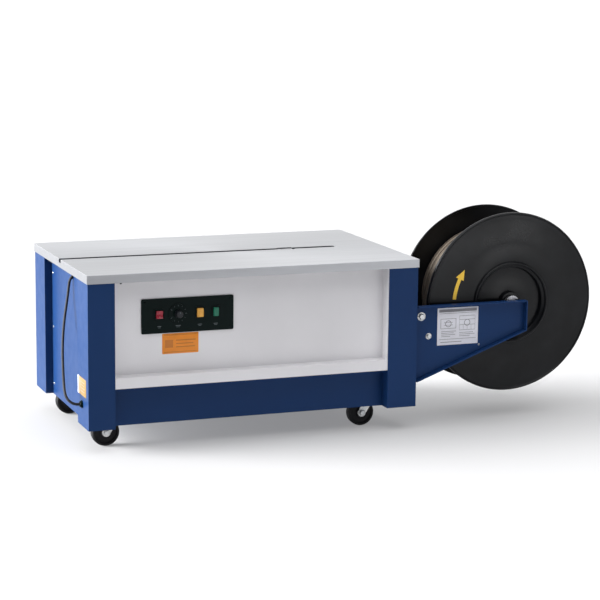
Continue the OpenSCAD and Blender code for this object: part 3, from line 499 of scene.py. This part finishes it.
def make_gland():
    """A nut with gripping ribs, its seat, and a ribbed sleeve that narrows on to the lead."""
    low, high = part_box("cable_gland")
    seat = Vector((high[0] - 0.012, (low[1] + high[1]) / 2, (low[2] + high[2]) / 2))
    r = (high[1] - low[1]) / 2
    length = seat.x - low[0]
    bore = CORD_D / 2 + 0.0002
    body = [(bore, 0.0), (r, 0.0), (r, length * 0.30), (r * 0.97, length * 0.36),
            (r * 0.80, length * 0.38),
            (r * 0.78, length * 0.72), (r * 0.66, length * 0.84)]
    sleeve = []
    for i in range(6):
        z = length * (0.84 + 0.16 * i / 6)
        r_here = r * (0.62 - 0.018 * i)
        sleeve += [(r_here, z), (r_here - 0.0004, z + length * 0.02)]
    gland = lathe("gland_body", body + sleeve + [(bore, length)], seat, MATS["panel_black"],
                  "cabinet",
                  TO_LEFT, 48)
    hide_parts("cable_gland")
    for i in range(14):
        a = 2 * pi * i / 14
        side = Vector((0, cos(a), sin(a)))
        rib_at = seat + side * r * 0.94 + Vector((-length * 0.16, 0, 0))
        box_piece(f"gland_rib_{i + 1}", rib_at, (length * 0.30, 0.0012, 0.0016),
                  MATS["panel_black"], "cabinet",
                  Matrix.Rotation(a, 3, "X"))


def box_piece(name, place, size, mat, body, turn=None, r=0.0003):
    """A small block with bevelled edges."""
    turn = turn or Matrix.Identity(3)
    mesh = bpy.data.meshes.new(name)
    work = bmesh.new()
    bmesh.ops.create_cube(work, size=1)
    bmesh.ops.scale(work, vec=size, verts=work.verts)
    bmesh.ops.bevel(work, geom=work.edges, offset=min(r, min(size) * 0.3), segments=2,
                    affect="EDGES", profile=0.5)
    bmesh.ops.transform(work, matrix=Matrix.Translation(place) @ turn.to_4x4(), verts=work.verts)
    work.to_mesh(mesh)
    work.free()
    mesh.materials.append(mat)
    obj = bpy.data.objects.new(name, mesh)
    bpy.context.scene.collection.objects.link(obj)
    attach(obj, body)
    return obj


CORD_SKIN = rubber("cord_skin", (0.016, 0.016, 0.018))
make_cord()
make_gland()


# ---------------------------------------------------------------- fasteners

def hex_bolt(name, place, turn, r, mat, body, washer):
    """A washer and a six-sided head with its corners turned off; turn takes +Z outwards."""
    head_t = r * 0.72
    wash_t = r * 0.16
    wash_r = r * washer
    profile = [(r * 0.5, 0), (wash_r, 0), (wash_r, wash_t * 0.75), (wash_r * 0.98, wash_t),
               (r * 0.5, wash_t)]
    place = Vector(place)
    lathe(name + "_washer", profile, place, mat, body, turn, 40)
    place = place + turn @ Vector((0, 0, wash_t))
    verts = []
    sides = 36
    levels = [(0.0, 0.0), (head_t * 0.82, 0.0), (head_t, r * 0.14)]
    for h, cut in levels:
        for i in range(sides):
            a = 2 * pi * i / sides
            flat = r * cos(pi / 6) / cos(a % (pi / 3) - pi / 6)
            reach = min(flat, r * 0.985) - cut
            verts.append(place + turn @ Vector((reach * cos(a), reach * sin(a), h)))
    return piece(name, verts, stacked(sides, len(levels)), mat, body, 24)


def pan_screw(name, place, turn, r, mat, body):
    """A round head with a cross recess, drawn as two near-black bars on the crown: painted shade for the hollow.
    """
    crown = [(r, 0.0), (r, r * 0.12)]
    crown += [(r * cos(t), r * (0.12 + 0.42 * sin(t))) for t in (pi / 10 * k for k in range(1, 5))]
    crown += [(r * 0.12, r * 0.55), (0.00002, r * 0.55), (0.00002, 0.0)]
    lathe(name, crown, place, mat, body, turn, 24)
    # The recess is not cut: the two near-black bars on the crown are painted shade for it.
    for k, a in enumerate((0.4, 0.4 + pi / 2)):
        bar = turn @ Matrix.Rotation(a, 3, "Z")
        box_piece(f"{name}_recess_{k + 1}", Vector(place) + turn @ Vector((0, 0, r * 0.50)),
                  (r * 1.05, r * 0.2, r * 0.14), PAINTED_RECESS_SHADE, body, bar, 0.0001)


# ---------------------------------------------------------------- controls

def make_rocker():
    """The rocker's cap: one shallow valley across its face, with generic on and off marks."""
    low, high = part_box("power_rocker")
    width = high[0] - low[0]
    mid = Vector(next(j for j in frame["joints"] if j["name"] == "rocker_tip")["pos_m"])
    half = (high[2] - low[2]) / 2
    depth = mid.y - low[1]
    outline = []
    for i in range(25):
        t = -1 + 2 * i / 24
        outline.append((-depth - 0.0003 + 0.0026 * (1 - abs(t)) ** 1.4 + 0.0006 * abs(t) ** 6,
                        t * half * 0.94))
    flank = [(-0.72 * half, 0.885 * half), (-0.50 * half, 0.86 * half)]
    back = [(-half * 0.99 * cos(a),
             half * 0.99 * sin(a)) for a in (radians(66 + 19 * k) for k in range(13))]
    outline += flank + back + [(y, -z) for y, z in reversed(flank)]
    verts = []
    rounds = [(-0.5, 0.94), (-0.47, 0.985), (-0.43, 1.0), (0.43, 1.0), (0.47, 0.985), (0.5, 0.94)]
    for x, k in rounds:
        verts += [Vector((mid.x + x * width, mid.y + y * k, mid.z + z * k)) for y, z in outline]
    faces = stacked(len(outline), len(rounds))
    cap = piece("rocker_cap", verts, faces, MATS["rocker_red"], "rocker", 30)
    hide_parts("power_rocker")
    face_y = mid.y - depth + 0.0006
    box_piece("rocker_mark_on", Vector((mid.x, face_y, mid.z + half * 0.5)),
              (0.0008, 0.0006, 0.0032), ROCKER_INK,
              "rocker")
    lathe("rocker_mark_off", [(0.0011, 0), (0.0018, 0), (0.0018, 0.0006), (0.0011, 0.0006)],
          Vector((mid.x, face_y, mid.z - half * 0.5)), ROCKER_INK, "rocker", TO_FRONT, 24)


def make_timer():
    """The timer: a scale ring with ticks, and a fluted knob with a pointer line."""
    low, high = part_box("timer_knob")
    mid = centre("timer_knob")
    ring_low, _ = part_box("control_bezels")
    face = Vector((mid.x, low[1], mid.z))
    ring_face = Vector((mid.x, ring_low[1], mid.z))
    knob_r = (high[0] - low[0]) / 2
    knob_h = (ring_low[1] - low[1]) - 0.0003
    flutes = 20
    sides = flutes * 6
    levels = [(0.0, 1.06, 0.0), (0.10, 1.06, 0.0), (0.16, 1.0, 0.3), (0.20, 0.97, 1.0),
              (0.86, 0.90, 1.0),
              (0.94, 0.87, 0.5), (1.0, 0.80, 0.0)]
    verts = []
    for h, k, deep in levels:
        for i in range(sides):
            a = 2 * pi * i / sides
            r = knob_r * min(1.0, k) * (1 - 0.045 * deep * (0.5 - 0.5 * cos(flutes * a)))
            verts.append(face + Vector((r * cos(a), knob_h * (1 - h), r * sin(a))))
    faces = stacked(sides, len(levels))
    knob = piece("timer_knob_cap", verts, faces, MATS["knob_grey"], "knob", 34)
    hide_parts("timer_knob")
    box_piece("timer_pointer", face + Vector((0, 0.0001, knob_r * 0.48)),
              (0.0012, 0.0008, knob_r * 0.62),
              PANEL_INK, "knob")
    ticks = 11
    for i in range(ticks):
        a = radians(-60 + 300 * i / (ticks - 1)) + pi
        along = Vector((sin(-a), 0, cos(-a)))
        long_tick = i % 5 == 0
        size = (0.0010 if long_tick else 0.0006, 0.0003, 0.0042 if long_tick else 0.0030)
        at = ring_face + along * (RING_R - 0.0042) + Vector((0, -0.0001, 0))
        box_piece(f"timer_tick_{i + 1}", at, size, PANEL_INK, "cabinet",
                  Matrix.Rotation(-a, 3, "Y"))


RING_R = (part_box("control_bezels")[1][2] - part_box("control_bezels")[0][2]) / 2


def make_button(node, body, slot):
    """A push button's lens: a rounded cap with a flat skirt that goes down into its frame."""
    low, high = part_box(node)
    w, h = high[0] - low[0], high[2] - low[2]
    back = Vector(((low[0] + high[0]) / 2, high[1], (low[2] + high[2]) / 2))
    depth = high[1] - low[1]
    verts = []
    rings = [(0.0, 0.0), (depth - 0.0022, 0.0), (depth - 0.0010, 0.0003), (depth - 0.0003, 0.0010),
             (depth, 0.0020), (depth + 0.0002, 0.0034)]
    for d, inset in rings:
        outline = rectangle(w - 2 * inset, h - 2 * inset, 0.0022)
        verts += [back + Vector((x, -d, z)) for x, z in outline]
    faces = stacked(len(outline), len(rings))
    cap = piece(node + "_lens", verts, faces, MATS[slot], body, 40)
    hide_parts(node)


def make_panel_marks():
    """Small generic marks printed under each control."""
    low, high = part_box("control_panel")
    face_y = low[1]
    z = low[2] + (high[2] - low[2]) * 0.20
    widths = {"power_rocker": 0.010, "timer_knob": 0.013, "feed_button": 0.011,
              "reset_button": 0.011}
    for k, (node, width) in enumerate(widths.items()):
        x = centre(node).x
        box_piece(f"panel_mark_{k + 1}a", Vector((x, face_y, z)), (width, 0.0003, 0.0016),
                  PANEL_INK, "cabinet")
        box_piece(f"panel_mark_{k + 1}b", Vector((x, face_y, z - 0.0035)),
                  (width * 0.7, 0.0003, 0.0010), PANEL_INK, "cabinet")
    for k, (sx, sz) in enumerate(((-1, -1), (1, -1), (-1, 1), (1, 1))):
        corner = Vector(((low[0] + high[0]) / 2 + sx * ((high[0] - low[0]) / 2 - 0.009), face_y,
                         (low[2] + high[2]) / 2 + sz * ((high[2] - low[2]) / 2 - 0.009)))
        pan_screw(f"panel_screw_{k + 1}", corner, TO_FRONT, 0.0026, MATS["panel_black"], "cabinet")


make_rocker()
make_timer()
make_button("feed_button", "feed_push", "button_amber")
make_button("reset_button", "reset_push", "button_green")
make_panel_marks()


# ---------------------------------------------------------------- stickers

def sticker(name, low, high, mat, axis, r=0.002):
    """A thin film with round corners that fills a box; axis 0 faces left and 1 the front."""
    low, high = Vector(low), Vector(high)
    mid = (low + high) / 2
    if axis == 1:
        outline = rectangle(high.x - low.x, high.z - low.z, r)
        place, turn = Vector((mid.x, high.y, mid.z)), TO_FRONT
    else:
        outline = rectangle(high.z - low.z, high.y - low.y, r)
        place, turn = Vector((high.x, mid.y, mid.z)), TO_LEFT
    thick = (high - low)[axis]
    return slab(name, outline, place, turn, thick, mat, "cabinet")


def front_marks(name, low, high, rows, mat):
    """Bars of generic print on a front-facing film; a row is (x0, x1, z0, z1) in shares of it."""
    low, high = Vector(low), Vector(high)
    size = high - low
    for i, (x0, x1, z0, z1) in enumerate(rows):
        place = Vector((low.x + size.x * (x0 + x1) / 2, low.y - INK_LIFT,
                        low.z + size.z * (z0 + z1) / 2))
        box_piece(f"{name}_{i + 1}", place, (size.x * (x1 - x0), 0.0002, size.z * (z1 - z0)), mat,
                  "cabinet",
                  r=0.00005)


INK_LIFT = 0.00005      # how far the middle of a bar of print lies in front of its film


def islands(node):
    """The boxes of a node's separate solids, from left to right."""
    work = bmesh.new()
    work.from_mesh(NODES[node].data)
    bmesh.ops.remove_doubles(work, verts=work.verts, dist=1e-6)
    left, boxes = set(work.verts), []
    while left:
        stack, found = [left.pop()], []
        while stack:
            v = stack.pop()
            found.append(v.co.copy())
            for e in v.link_edges:
                other = e.other_vert(v)
                if other in left:
                    left.remove(other)
                    stack.append(other)
        boxes.append((Vector(map(min, *found)), Vector(map(max, *found))))
    work.free()
    return sorted(boxes, key=lambda b: (round(b[0].x, 4), round(b[0].y, 4), b[0].z))


def make_stickers():
    """The four stickers with generic line print, and the screw beside the arm's."""
    films = islands("labels")
    side = [b for b in films if b[1].x - b[0].x < 0.001]
    front = [b for b in films if b[1].y - b[0].y < 0.001]
    side.sort(key=lambda b: b[0].y)
    gold = sticker("sticker_yellow", *side[0], YELLOW_PRINT, 0)
    sticker("sticker_strip", *side[1], WHITE_PRINT, 0, 0.001)
    sticker("sticker_orange", *front[0], MATS["label_paper"], 1)
    sticker("sticker_arm", *front[1], WHITE_PRINT, 1)
    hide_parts("labels")
    low, high = side[0]
    for i in range(4):
        z = low.z + (high.z - low.z) * (0.24 + 0.17 * i)
        box_piece(f"yellow_line_{i + 1}",
                  Vector((low.x - INK_LIFT, (low.y + high.y) / 2 + 0.004, z)),
                  (0.0002, (high.y - low.y) * (0.62, 0.70, 0.55, 0.66)[i], 0.0014), GREY_INK,
                  "cabinet",
                  r=0.00005)
    front_marks("orange_line", *front[0], [(0.05, 0.95, 0.90, 0.93), (0.05, 0.95, 0.07, 0.10),
                (0.08, 0.30, 0.30, 0.68), (0.38, 0.92, 0.62, 0.68), (0.38, 0.86, 0.46, 0.51),
                (0.38, 0.90, 0.30, 0.35)], ORANGE_INK)
    front_marks("arm_heading", *front[1], [(0.04, 0.96, 0.885, 0.965)], GREY_INK)
    front_marks("arm_line", *front[1], ARM_LINES, GREY_INK)
    low, high = front[1]
    for i, (x, z) in enumerate(((0.27, 0.57), (0.73, 0.58))):
        at = Vector((low.x + (high.x - low.x) * x, low.y, low.z + (high.z - low.z) * z))
        lathe(f"arm_ring_{i + 1}", [(0.0075, 0), (0.0090, 0), (0.0090, 0.0002), (0.0075, 0.0002)],
              at, GREY_INK, "cabinet",
              TO_FRONT, 32)
    pan_screw("arm_screw", (high.x + 0.004, high.y, low.z - 0.004), TO_FRONT, 0.0030, MATS["zinc"],
              "cabinet")


ARM_LINES = ([(0.05, 0.95, 0.15, 0.16), (0.05, 0.95, 0.845, 0.855), (0.08, 0.46, 0.70, 0.71),
              (0.08, 0.09, 0.44, 0.70),
              (0.45, 0.46, 0.44, 0.70), (0.08, 0.46, 0.44, 0.45), (0.16, 0.38, 0.60, 0.61),
              (0.16, 0.38, 0.53, 0.54)]
             + [(0.54, 0.92, z, z + 0.01) for z in (0.76, 0.66, 0.52, 0.38)]
             + [(0.54 + 0.095 * k, 0.545 + 0.095 * k, 0.38,
                 0.76 if k in (0, 4) else 0.52) for k in range(5)]
             + [(0.10, 0.10 + w, 0.36 - 0.045 * i, 0.372 - 0.045 * i) for i,
                w in enumerate((0.36, 0.30, 0.34, 0.22))]
             + [(0.54, 0.54 + w, 0.31 - 0.045 * i, 0.322 - 0.045 * i) for i,
                w in enumerate((0.34, 0.38, 0.26))]
             + [(0.08, 0.60, 0.07, 0.085)])
make_stickers()


# ---------------------------------------------------------------- casters

def tyre_profile(r, half, hub_r, bore):
    """Section of a wheel: a crowned tread, round shoulders, a dished web and a raised hub."""
    web = half * 0.62
    right = [(bore, half + 0.0007), (hub_r - 0.0008, half + 0.0007), (hub_r, half),
             (hub_r + 0.0012, web + 0.0006),
             (hub_r + 0.0030, web), (r - 0.0105, web), (r - 0.0085, web + 0.0008),
             (r - 0.0078, half - 0.0008),
             (r - 0.0068, half)]
    shoulder = [(r - 0.0052 + 0.0052 * sin(a) * 0.96, half - 0.0058 + 0.0058 * cos(a)) for a in
                (pi / 2 * k / 6 for k in range(1, 7))]
    crown = [(r - 0.0002 * (2 - k), half * (0.50 - 0.25 * k)) for k in range(3)]
    side = right + shoulder + crown
    return side + [(x, -y) for x, y in reversed(side[:-1])]


def make_casters():
    """Solid wheels with a dished web, hub rings, axle nuts and the plates' bolts."""
    for k in range(1, 5):
        low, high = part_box(f"caster_wheel_{k}")
        mid = centre(f"caster_wheel_{k}")
        r, half = (high[2] - low[2]) / 2, (high[1] - low[1]) / 2 - 0.0008
        wheel = lathe(f"tyre_{k}", tyre_profile(r, half, 0.013, 0.0052), mid,
                      MATS["caster_rubber"], f"wheel_{k}",
                      TO_BACK, 72, 28)
        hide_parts(f"caster_wheel_{k}")
        for side, turn in (("a", TO_FRONT), ("b", TO_BACK)):
            lathe(f"hub_ring_{k}{side}", [(0.0068, 0), (0.0112, 0), (0.0112, 0.0004),
                                          (0.0106, 0.0007), (0.0068, 0.0007)],
                  mid + turn @ Vector((0, 0, half + 0.0003)), MATS["zinc"], f"wheel_{k}", turn, 40)
        fork_low, fork_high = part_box(f"caster_fork_{k}")
        for side, turn, y in (("a", TO_FRONT, fork_low[1] + 0.0052),
                              ("b", TO_BACK, fork_high[1] - 0.0052)):
            hex_bolt(f"axle_nut_{k}{side}", (mid.x, y, mid.z), turn, 0.0084, MATS["zinc"],
                     f"fork_{k}", 1.25)
    for k in range(1, 5):
        spot = centre(f"caster_fork_{k}")
        wheel = centre(f"caster_wheel_{k}")
        swivel_x = wheel.x + CASTER_TRAIL
        for i, (dx, dy) in enumerate(((-1, -1), (1, -1), (-1, 1), (1, 1))):
            hex_bolt(f"plate_bolt_{k}_{i + 1}", (swivel_x + PLATE_BOLT_X * dx,
                                                 spot.y + PLATE_BOLT_Y * dy, PLATE_Z), DOWN,
                                                 0.0055,
                     MATS["zinc"], "cabinet", 1.3)


DOWN = Matrix.Rotation(radians(180), 3, "X")    # takes +Z to -Z
CASTER_TRAIL = abs(next(j for j in frame["joints"] if j["name"] == "caster_swivel_1")["pos_m"][0]
                   - centre("caster_wheel_1").x)
PLATE_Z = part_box("base_pan")[0][2] - 0.003      # underside of a caster's plate
PLATE_BOLT_X = 0.026                            # bolts from the middle of a plate
PLATE_BOLT_Y = 0.020
make_casters()


# ---------------------------------------------------------------- reel

def flange_profile(r, web_out, cup_r):
    """Half section of a flange: rolled rim, web, raised lip and the cup round the shaft."""
    web_in = web_out - WEB_T
    bore = SHAFT_BORE
    floor = web_out - CUP_DEPTH
    at_rim = web_in - DISH
    rim = [(r - 0.0006, at_rim - 0.0016), (r, at_rim - 0.0006), (r, at_rim + 0.0030),
           (r - 0.0008, at_rim + 0.0052),
           (r - 0.0024, at_rim + 0.0066), (r - 0.0040, at_rim + 0.0067),
           (r - 0.0054, at_rim + 0.0058),
           (r - 0.0066, at_rim + 0.0042), (r - 0.0085, at_rim + 0.0041)]
    slope = [(k, ((k - DISH_R) / (r - 0.002 - DISH_R)) ** 1.3 * DISH) for k in
             (r - 0.0085 - (r - 0.0085 - DISH_R) * i / 10 for i in range(1, 11))]
    rim += [(k, web_out - fall) for k, fall in slope]
    lip = [(0.1125, web_out), (0.1105, web_out + 0.0006), (0.1098, web_out + 0.0016),
           (0.1096, web_out + 0.0064),
           (0.1086, web_out + 0.0077), (0.1070, web_out + 0.0080), (0.1056, web_out + 0.0076),
           (0.1042, web_out + 0.0060),
           (0.1034, web_out + 0.0020)]
    cup = [(cup_r - 0.0006, web_out - 0.0005), (cup_r - 0.0030, web_out - 0.0014),
           (cup_r - 0.0042, web_out - 0.0030),
           (cup_r - 0.0048, floor + 0.0055), (cup_r - 0.0062, floor + 0.0042),
           (cup_r - 0.0085, floor + 0.0040)]
    boss = [(0.0306, floor + 0.0040), (0.0288, floor + 0.0046), (0.0280, floor + 0.0062),
            (0.0276, web_out + 0.0006),
            (0.0268, web_out + 0.0018), (0.0250, web_out + 0.0020), (bore, web_out + 0.0020)]
    inner = [(bore, floor - 0.008), (0.0274, floor - 0.008), (0.0280, floor - 0.0074),
             (0.0280, floor), (cup_r, floor),
             (cup_r, web_in - 0.0004), (cup_r + 0.0010, web_in)]
    inner += [(k, web_in - fall) for k, fall in reversed(slope)]
    inner += [(r - 0.0062, at_rim), (r - 0.0056, at_rim - 0.0016), (r - 0.0046, at_rim - 0.0020)]
    return rim + lip + cup + boss + inner


def make_flanges():
    """The two moulded flanges."""
    for node, turn in (("front_flange", TO_FRONT), ("rear_flange", TO_BACK)):
        low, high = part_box(node)
        profile = flange_profile((high[2] - low[2]) / 2, WEB_OUT, CORE_R - 0.0033)
        flange = lathe(node + "_moulding", profile, SHAFT, MATS["reel_black"], "reel", turn,
                       192, 34)
        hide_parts(node)


CORE_LOW, CORE_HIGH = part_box("reel_core")
CORE_R = (CORE_HIGH[2] - CORE_LOW[2]) / 2
WEB_T = 0.004           # thickness of a flange's web
WEB_OUT = (CORE_HIGH[1] - CORE_LOW[1]) / 2 + WEB_T
DISH_R = 0.165          # outside this radius the web slopes inwards
DISH = 0.004            # by this much at the rim
CUP_DEPTH = 0.018
SHAFT_BORE = 0.01005


def make_coil():
    """Strap wound in bands side by side; each band sits at its own height."""
    low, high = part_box("strap_coil")
    r_out = (high[2] - low[2]) / 2
    half = (high[1] - low[1]) / 2
    r_in = CORE_R + 0.0001
    bands = 14
    width = 2 * half / bands
    outer = []
    for i in range(bands):
        start = -half + i * width
        slow, fast = 0.5 + 0.5 * sin(2.4 * i + 0.7), 0.5 + 0.5 * cos(5.1 * i)
        level = r_out - 0.0002 - 0.0016 * slow - 0.0009 * fast
        outer += [(level - 0.0014, start + width * 0.015), (level - 0.0003, start + width * 0.06),
                  (level, start + width * 0.14), (level, start + width * 0.86),
                  (level - 0.0003, start + width * 0.94),
                  (level - 0.0014, start + width * 0.985)]
    side = [(r_in + (r_out - 0.003 - r_in) * k / 24,
             half - 0.0010 * (0.5 + 0.5 * sin(3.7 * k))) for k in range(24, -1, -1)]
    other = [(r, -h) for r, h in reversed(side)]
    coil = lathe("strap_wound", outer + side + other, SHAFT, MATS["strap"], "reel", TO_BACK, 160,
                 30)
    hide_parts("strap_coil")


def make_arrow():
    """A plain curved arrow printed on the front flange that shows the way to turn it."""
    r_mid, wide = 0.1675, 0.0100
    start, end, head = radians(174.5), radians(155), radians(9.5)
    steps = 16
    outline = [((r_mid + wide / 2) * cos(a), (r_mid + wide / 2) * sin(a)) for a in
               (start + (end - start) * k / steps for k in range(steps + 1))]
    outline += [((r_mid + wide * 1.25) * cos(end), (r_mid + wide * 1.25) * sin(end)),
                (r_mid * cos(end - head), r_mid * sin(end - head)),
                ((r_mid - wide * 1.25) * cos(end), (r_mid - wide * 1.25) * sin(end))]
    outline += [((r_mid - wide / 2) * cos(a), (r_mid - wide / 2) * sin(a)) for a in
                (end + (start - end) * k / steps for k in range(steps + 1))]
    y = SHAFT.y - WEB_OUT - 0.00015
    count = len(outline)
    verts = [Vector((SHAFT.x + x, y, SHAFT.z + z)) for x, z in outline]
    verts += [v + Vector((0, 0.0003, 0)) for v in verts]
    half = steps + 1
    faces = [(i, i + 1, count - 2 - i, count - 1 - i) for i in range(steps)]
    faces.append((half, half + 1, half + 2))
    faces += [tuple(i + count for i in reversed(f)) for f in faces]
    faces += [(i, (i + 1) % count, (i + 1) % count + count, i + count) for i in range(count)]
    piece("turn_arrow", verts, faces, ARROW_PRINT, "reel", 40)


def make_bolts():
    """Hex bolts with washers where the arms and their brackets are bolted."""
    first = True
    for k, (low, high) in enumerate(islands("arm_bolts")):
        size = high - low
        mid = (low + high) / 2
        along_y = size.y > max(size.x, size.z) * 0.9
        if along_y:
            ends = ((TO_FRONT, Vector((mid.x, low.y, mid.z))),
                    (TO_BACK, Vector((mid.x, high.y, mid.z))))
            r = size.x / 2
        else:
            ends = ((TO_LEFT, Vector((low.x, mid.y, mid.z))),
                    (TO_RIGHT, Vector((high.x, mid.y, mid.z))))
            r = size.z / 2
        for name, (turn, end) in zip("ab", ends):
            seat = end - turn @ Vector((0, 0, HEAD_SHARE * 2 * r if along_y else 0.005))
            bolt = hex_bolt(f"arm_bolt_{k + 1}{name}", seat, turn, r * 0.98, MATS["zinc"],
                            "cabinet", 1.32)
            if first:
                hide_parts("arm_bolts")
                first = False


TO_RIGHT = Matrix.Rotation(radians(90), 3, "Y")     # takes +Z to +X
HEAD_SHARE = 0.35
make_flanges()
make_coil()
make_arrow()
make_bolts()


# ---------------------------------------------------------------- sheet metal

def make_screws():
    """Screws of the covers, the side panels and the hinges."""
    low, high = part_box("front_cover")
    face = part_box("control_panel")[1][1]
    pan_screw("cover_screw", (low[0] + 0.026, face, high[2] - 0.006), TO_FRONT, 0.0032,
              MATS["panel_black"],
              "cabinet")
    low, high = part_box("rear_cover")
    for k, (x, z) in enumerate((x, z) for x in (low[0] + 0.014, 0.5 * (low[0] + high[0]),
                                                high[0] - 0.014)
                               for z in (low[2] + 0.014, high[2] - 0.014)):
        pan_screw(f"rear_screw_{k + 1}", (x, high[1], z), TO_BACK, 0.0034, MATS["zinc"], "cabinet")
    for node, turn, side in (("left_panel", TO_LEFT, 0), ("right_panel", TO_RIGHT, 1)):
        low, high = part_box(node)
        x = (low if side == 0 else high)[0]
        for k, (y, z) in enumerate((y, z) for y in (low[1] + 0.014, high[1] - 0.014)
                                   for z in (low[2] + 0.030, 0.5 * (low[2] + high[2]),
                                             high[2] - 0.040)):
            pan_screw(f"{node}_screw_{k + 1}", (x, y, z), turn, 0.0034, MATS["zinc"], "cabinet")
    for k, (low, high) in enumerate(islands("hinge_bases")):
        for i, x in enumerate((low.x + 0.009, high.x - 0.009)):
            pan_screw(f"hinge_screw_{k + 1}_{i + 1}", (x, low.y + 0.002, low.z + 0.012), TO_BACK,
                      0.0030,
                      MATS["zinc"], "cabinet")


make_screws()


# ---------------------------------------------------------------- floor and light

def make_stage():
    """A pale floor that reaches to the horizon and darkens in front of the machine."""
    mesh = bpy.data.meshes.new("floor")
    reach = 90
    corners = [(-reach, -reach, 0), (reach, -reach, 0), (reach, reach, 0), (-reach, reach, 0)]
    mesh.from_pydata(corners, [], [(0, 1, 2, 3)])
    s = Surface("floor_paint", FLOOR_NEAR, 0.8)
    ahead = s.node("ShaderNodeSeparateXYZ", Vector=s.place()).outputs["Y"]
    shade = s.tint(s.spread(ahead, 0.0, 1.0, *FLOOR_FADE), FLOOR_FAR, FLOOR_NEAR, 0.0, 1.0)
    s.paint(shade)
    s.tree.links.new(shade, s.bsdf.inputs["Emission Color"])
    s.set("Emission Strength", FLOOR_GLOW)
    s.bump(s.noise(40, 2), 0.02, 0.0005)
    mesh.materials.append(s.mat)
    floor = bpy.data.objects.new("floor", mesh)
    bpy.context.scene.collection.objects.link(floor)


def sun(name, azimuth, elevation, strength, softness):
    """A distant soft light; azimuth 0 is in front and 90 at the left."""
    data = bpy.data.lights.new(name, "SUN")
    data.energy = strength
    data.angle = radians(softness)
    az, el = radians(azimuth), radians(elevation)
    away = Vector((-sin(az) * cos(el), -cos(az) * cos(el), sin(el)))
    lamp = bpy.data.objects.new(name, data)
    lamp.rotation_euler = away.to_track_quat("Z", "Y").to_euler()
    bpy.context.scene.collection.objects.link(lamp)


def make_light():
    """A key from behind the left, a top light, a low card that shows in the reel, a surround."""
    world = bpy.data.worlds.new("surround")
    world.use_nodes = True
    tree = world.node_tree
    coords = tree.nodes.new("ShaderNodeTexCoord")
    parts = tree.nodes.new("ShaderNodeSeparateXYZ")
    ramp = tree.nodes.new("ShaderNodeValToRGB")
    tree.links.new(coords.outputs["Generated"], parts.inputs["Vector"])
    shift = tree.nodes.new("ShaderNodeMapRange")
    shift.inputs["From Min"].default_value = -1.0
    tree.links.new(parts.outputs["Y"], shift.inputs["Value"])
    tree.links.new(shift.outputs["Result"], ramp.inputs["Fac"])
    ramp.color_ramp.elements[0].position = 0.30
    ramp.color_ramp.elements[0].color = (*SURROUND_FRONT, 1)
    ramp.color_ramp.elements[1].position = 0.72
    ramp.color_ramp.elements[1].color = (*SURROUND_BACK, 1)
    tree.links.new(ramp.outputs["Color"], tree.nodes["Background"].inputs["Color"])
    bpy.context.scene.world = world
    bpy.context.scene.view_settings.view_transform = "Standard"
    for light in SUNS:
        sun(*light)
    data = bpy.data.lights.new("card", "AREA")
    data.shape = "RECTANGLE"
    data.size, data.size_y = CARD_SIZE
    data.energy = CARD_POWER
    card = bpy.data.objects.new("card", data)
    card.location = CARD_PLACE
    card.rotation_euler = (Vector(CARD_PLACE) - SHAFT).to_track_quat("Z", "Y").to_euler()
    bpy.context.scene.collection.objects.link(card)


FLOOR_NEAR = (0.38, 0.38, 0.385)
FLOOR_FAR = (0.13, 0.13, 0.14)
FLOOR_FADE = (-2.3, -1.8)       # y where the far colour ends and the near one starts
FLOOR_GLOW = 0.60
SURROUND_FRONT = (0.14, 0.145, 0.155)
SURROUND_BACK = (1.0, 1.0, 1.0)
# name, azimuth, elevation, strength and softness
SUNS = [("key", 105, 15, 13.5, 38), ("top", 10, 72, 1.6, 60)]
CARD_PLACE = (2.2, -4.8, 0.35)
CARD_SIZE = (3.0, 0.6)
CARD_POWER = 28
make_stage()
make_light()
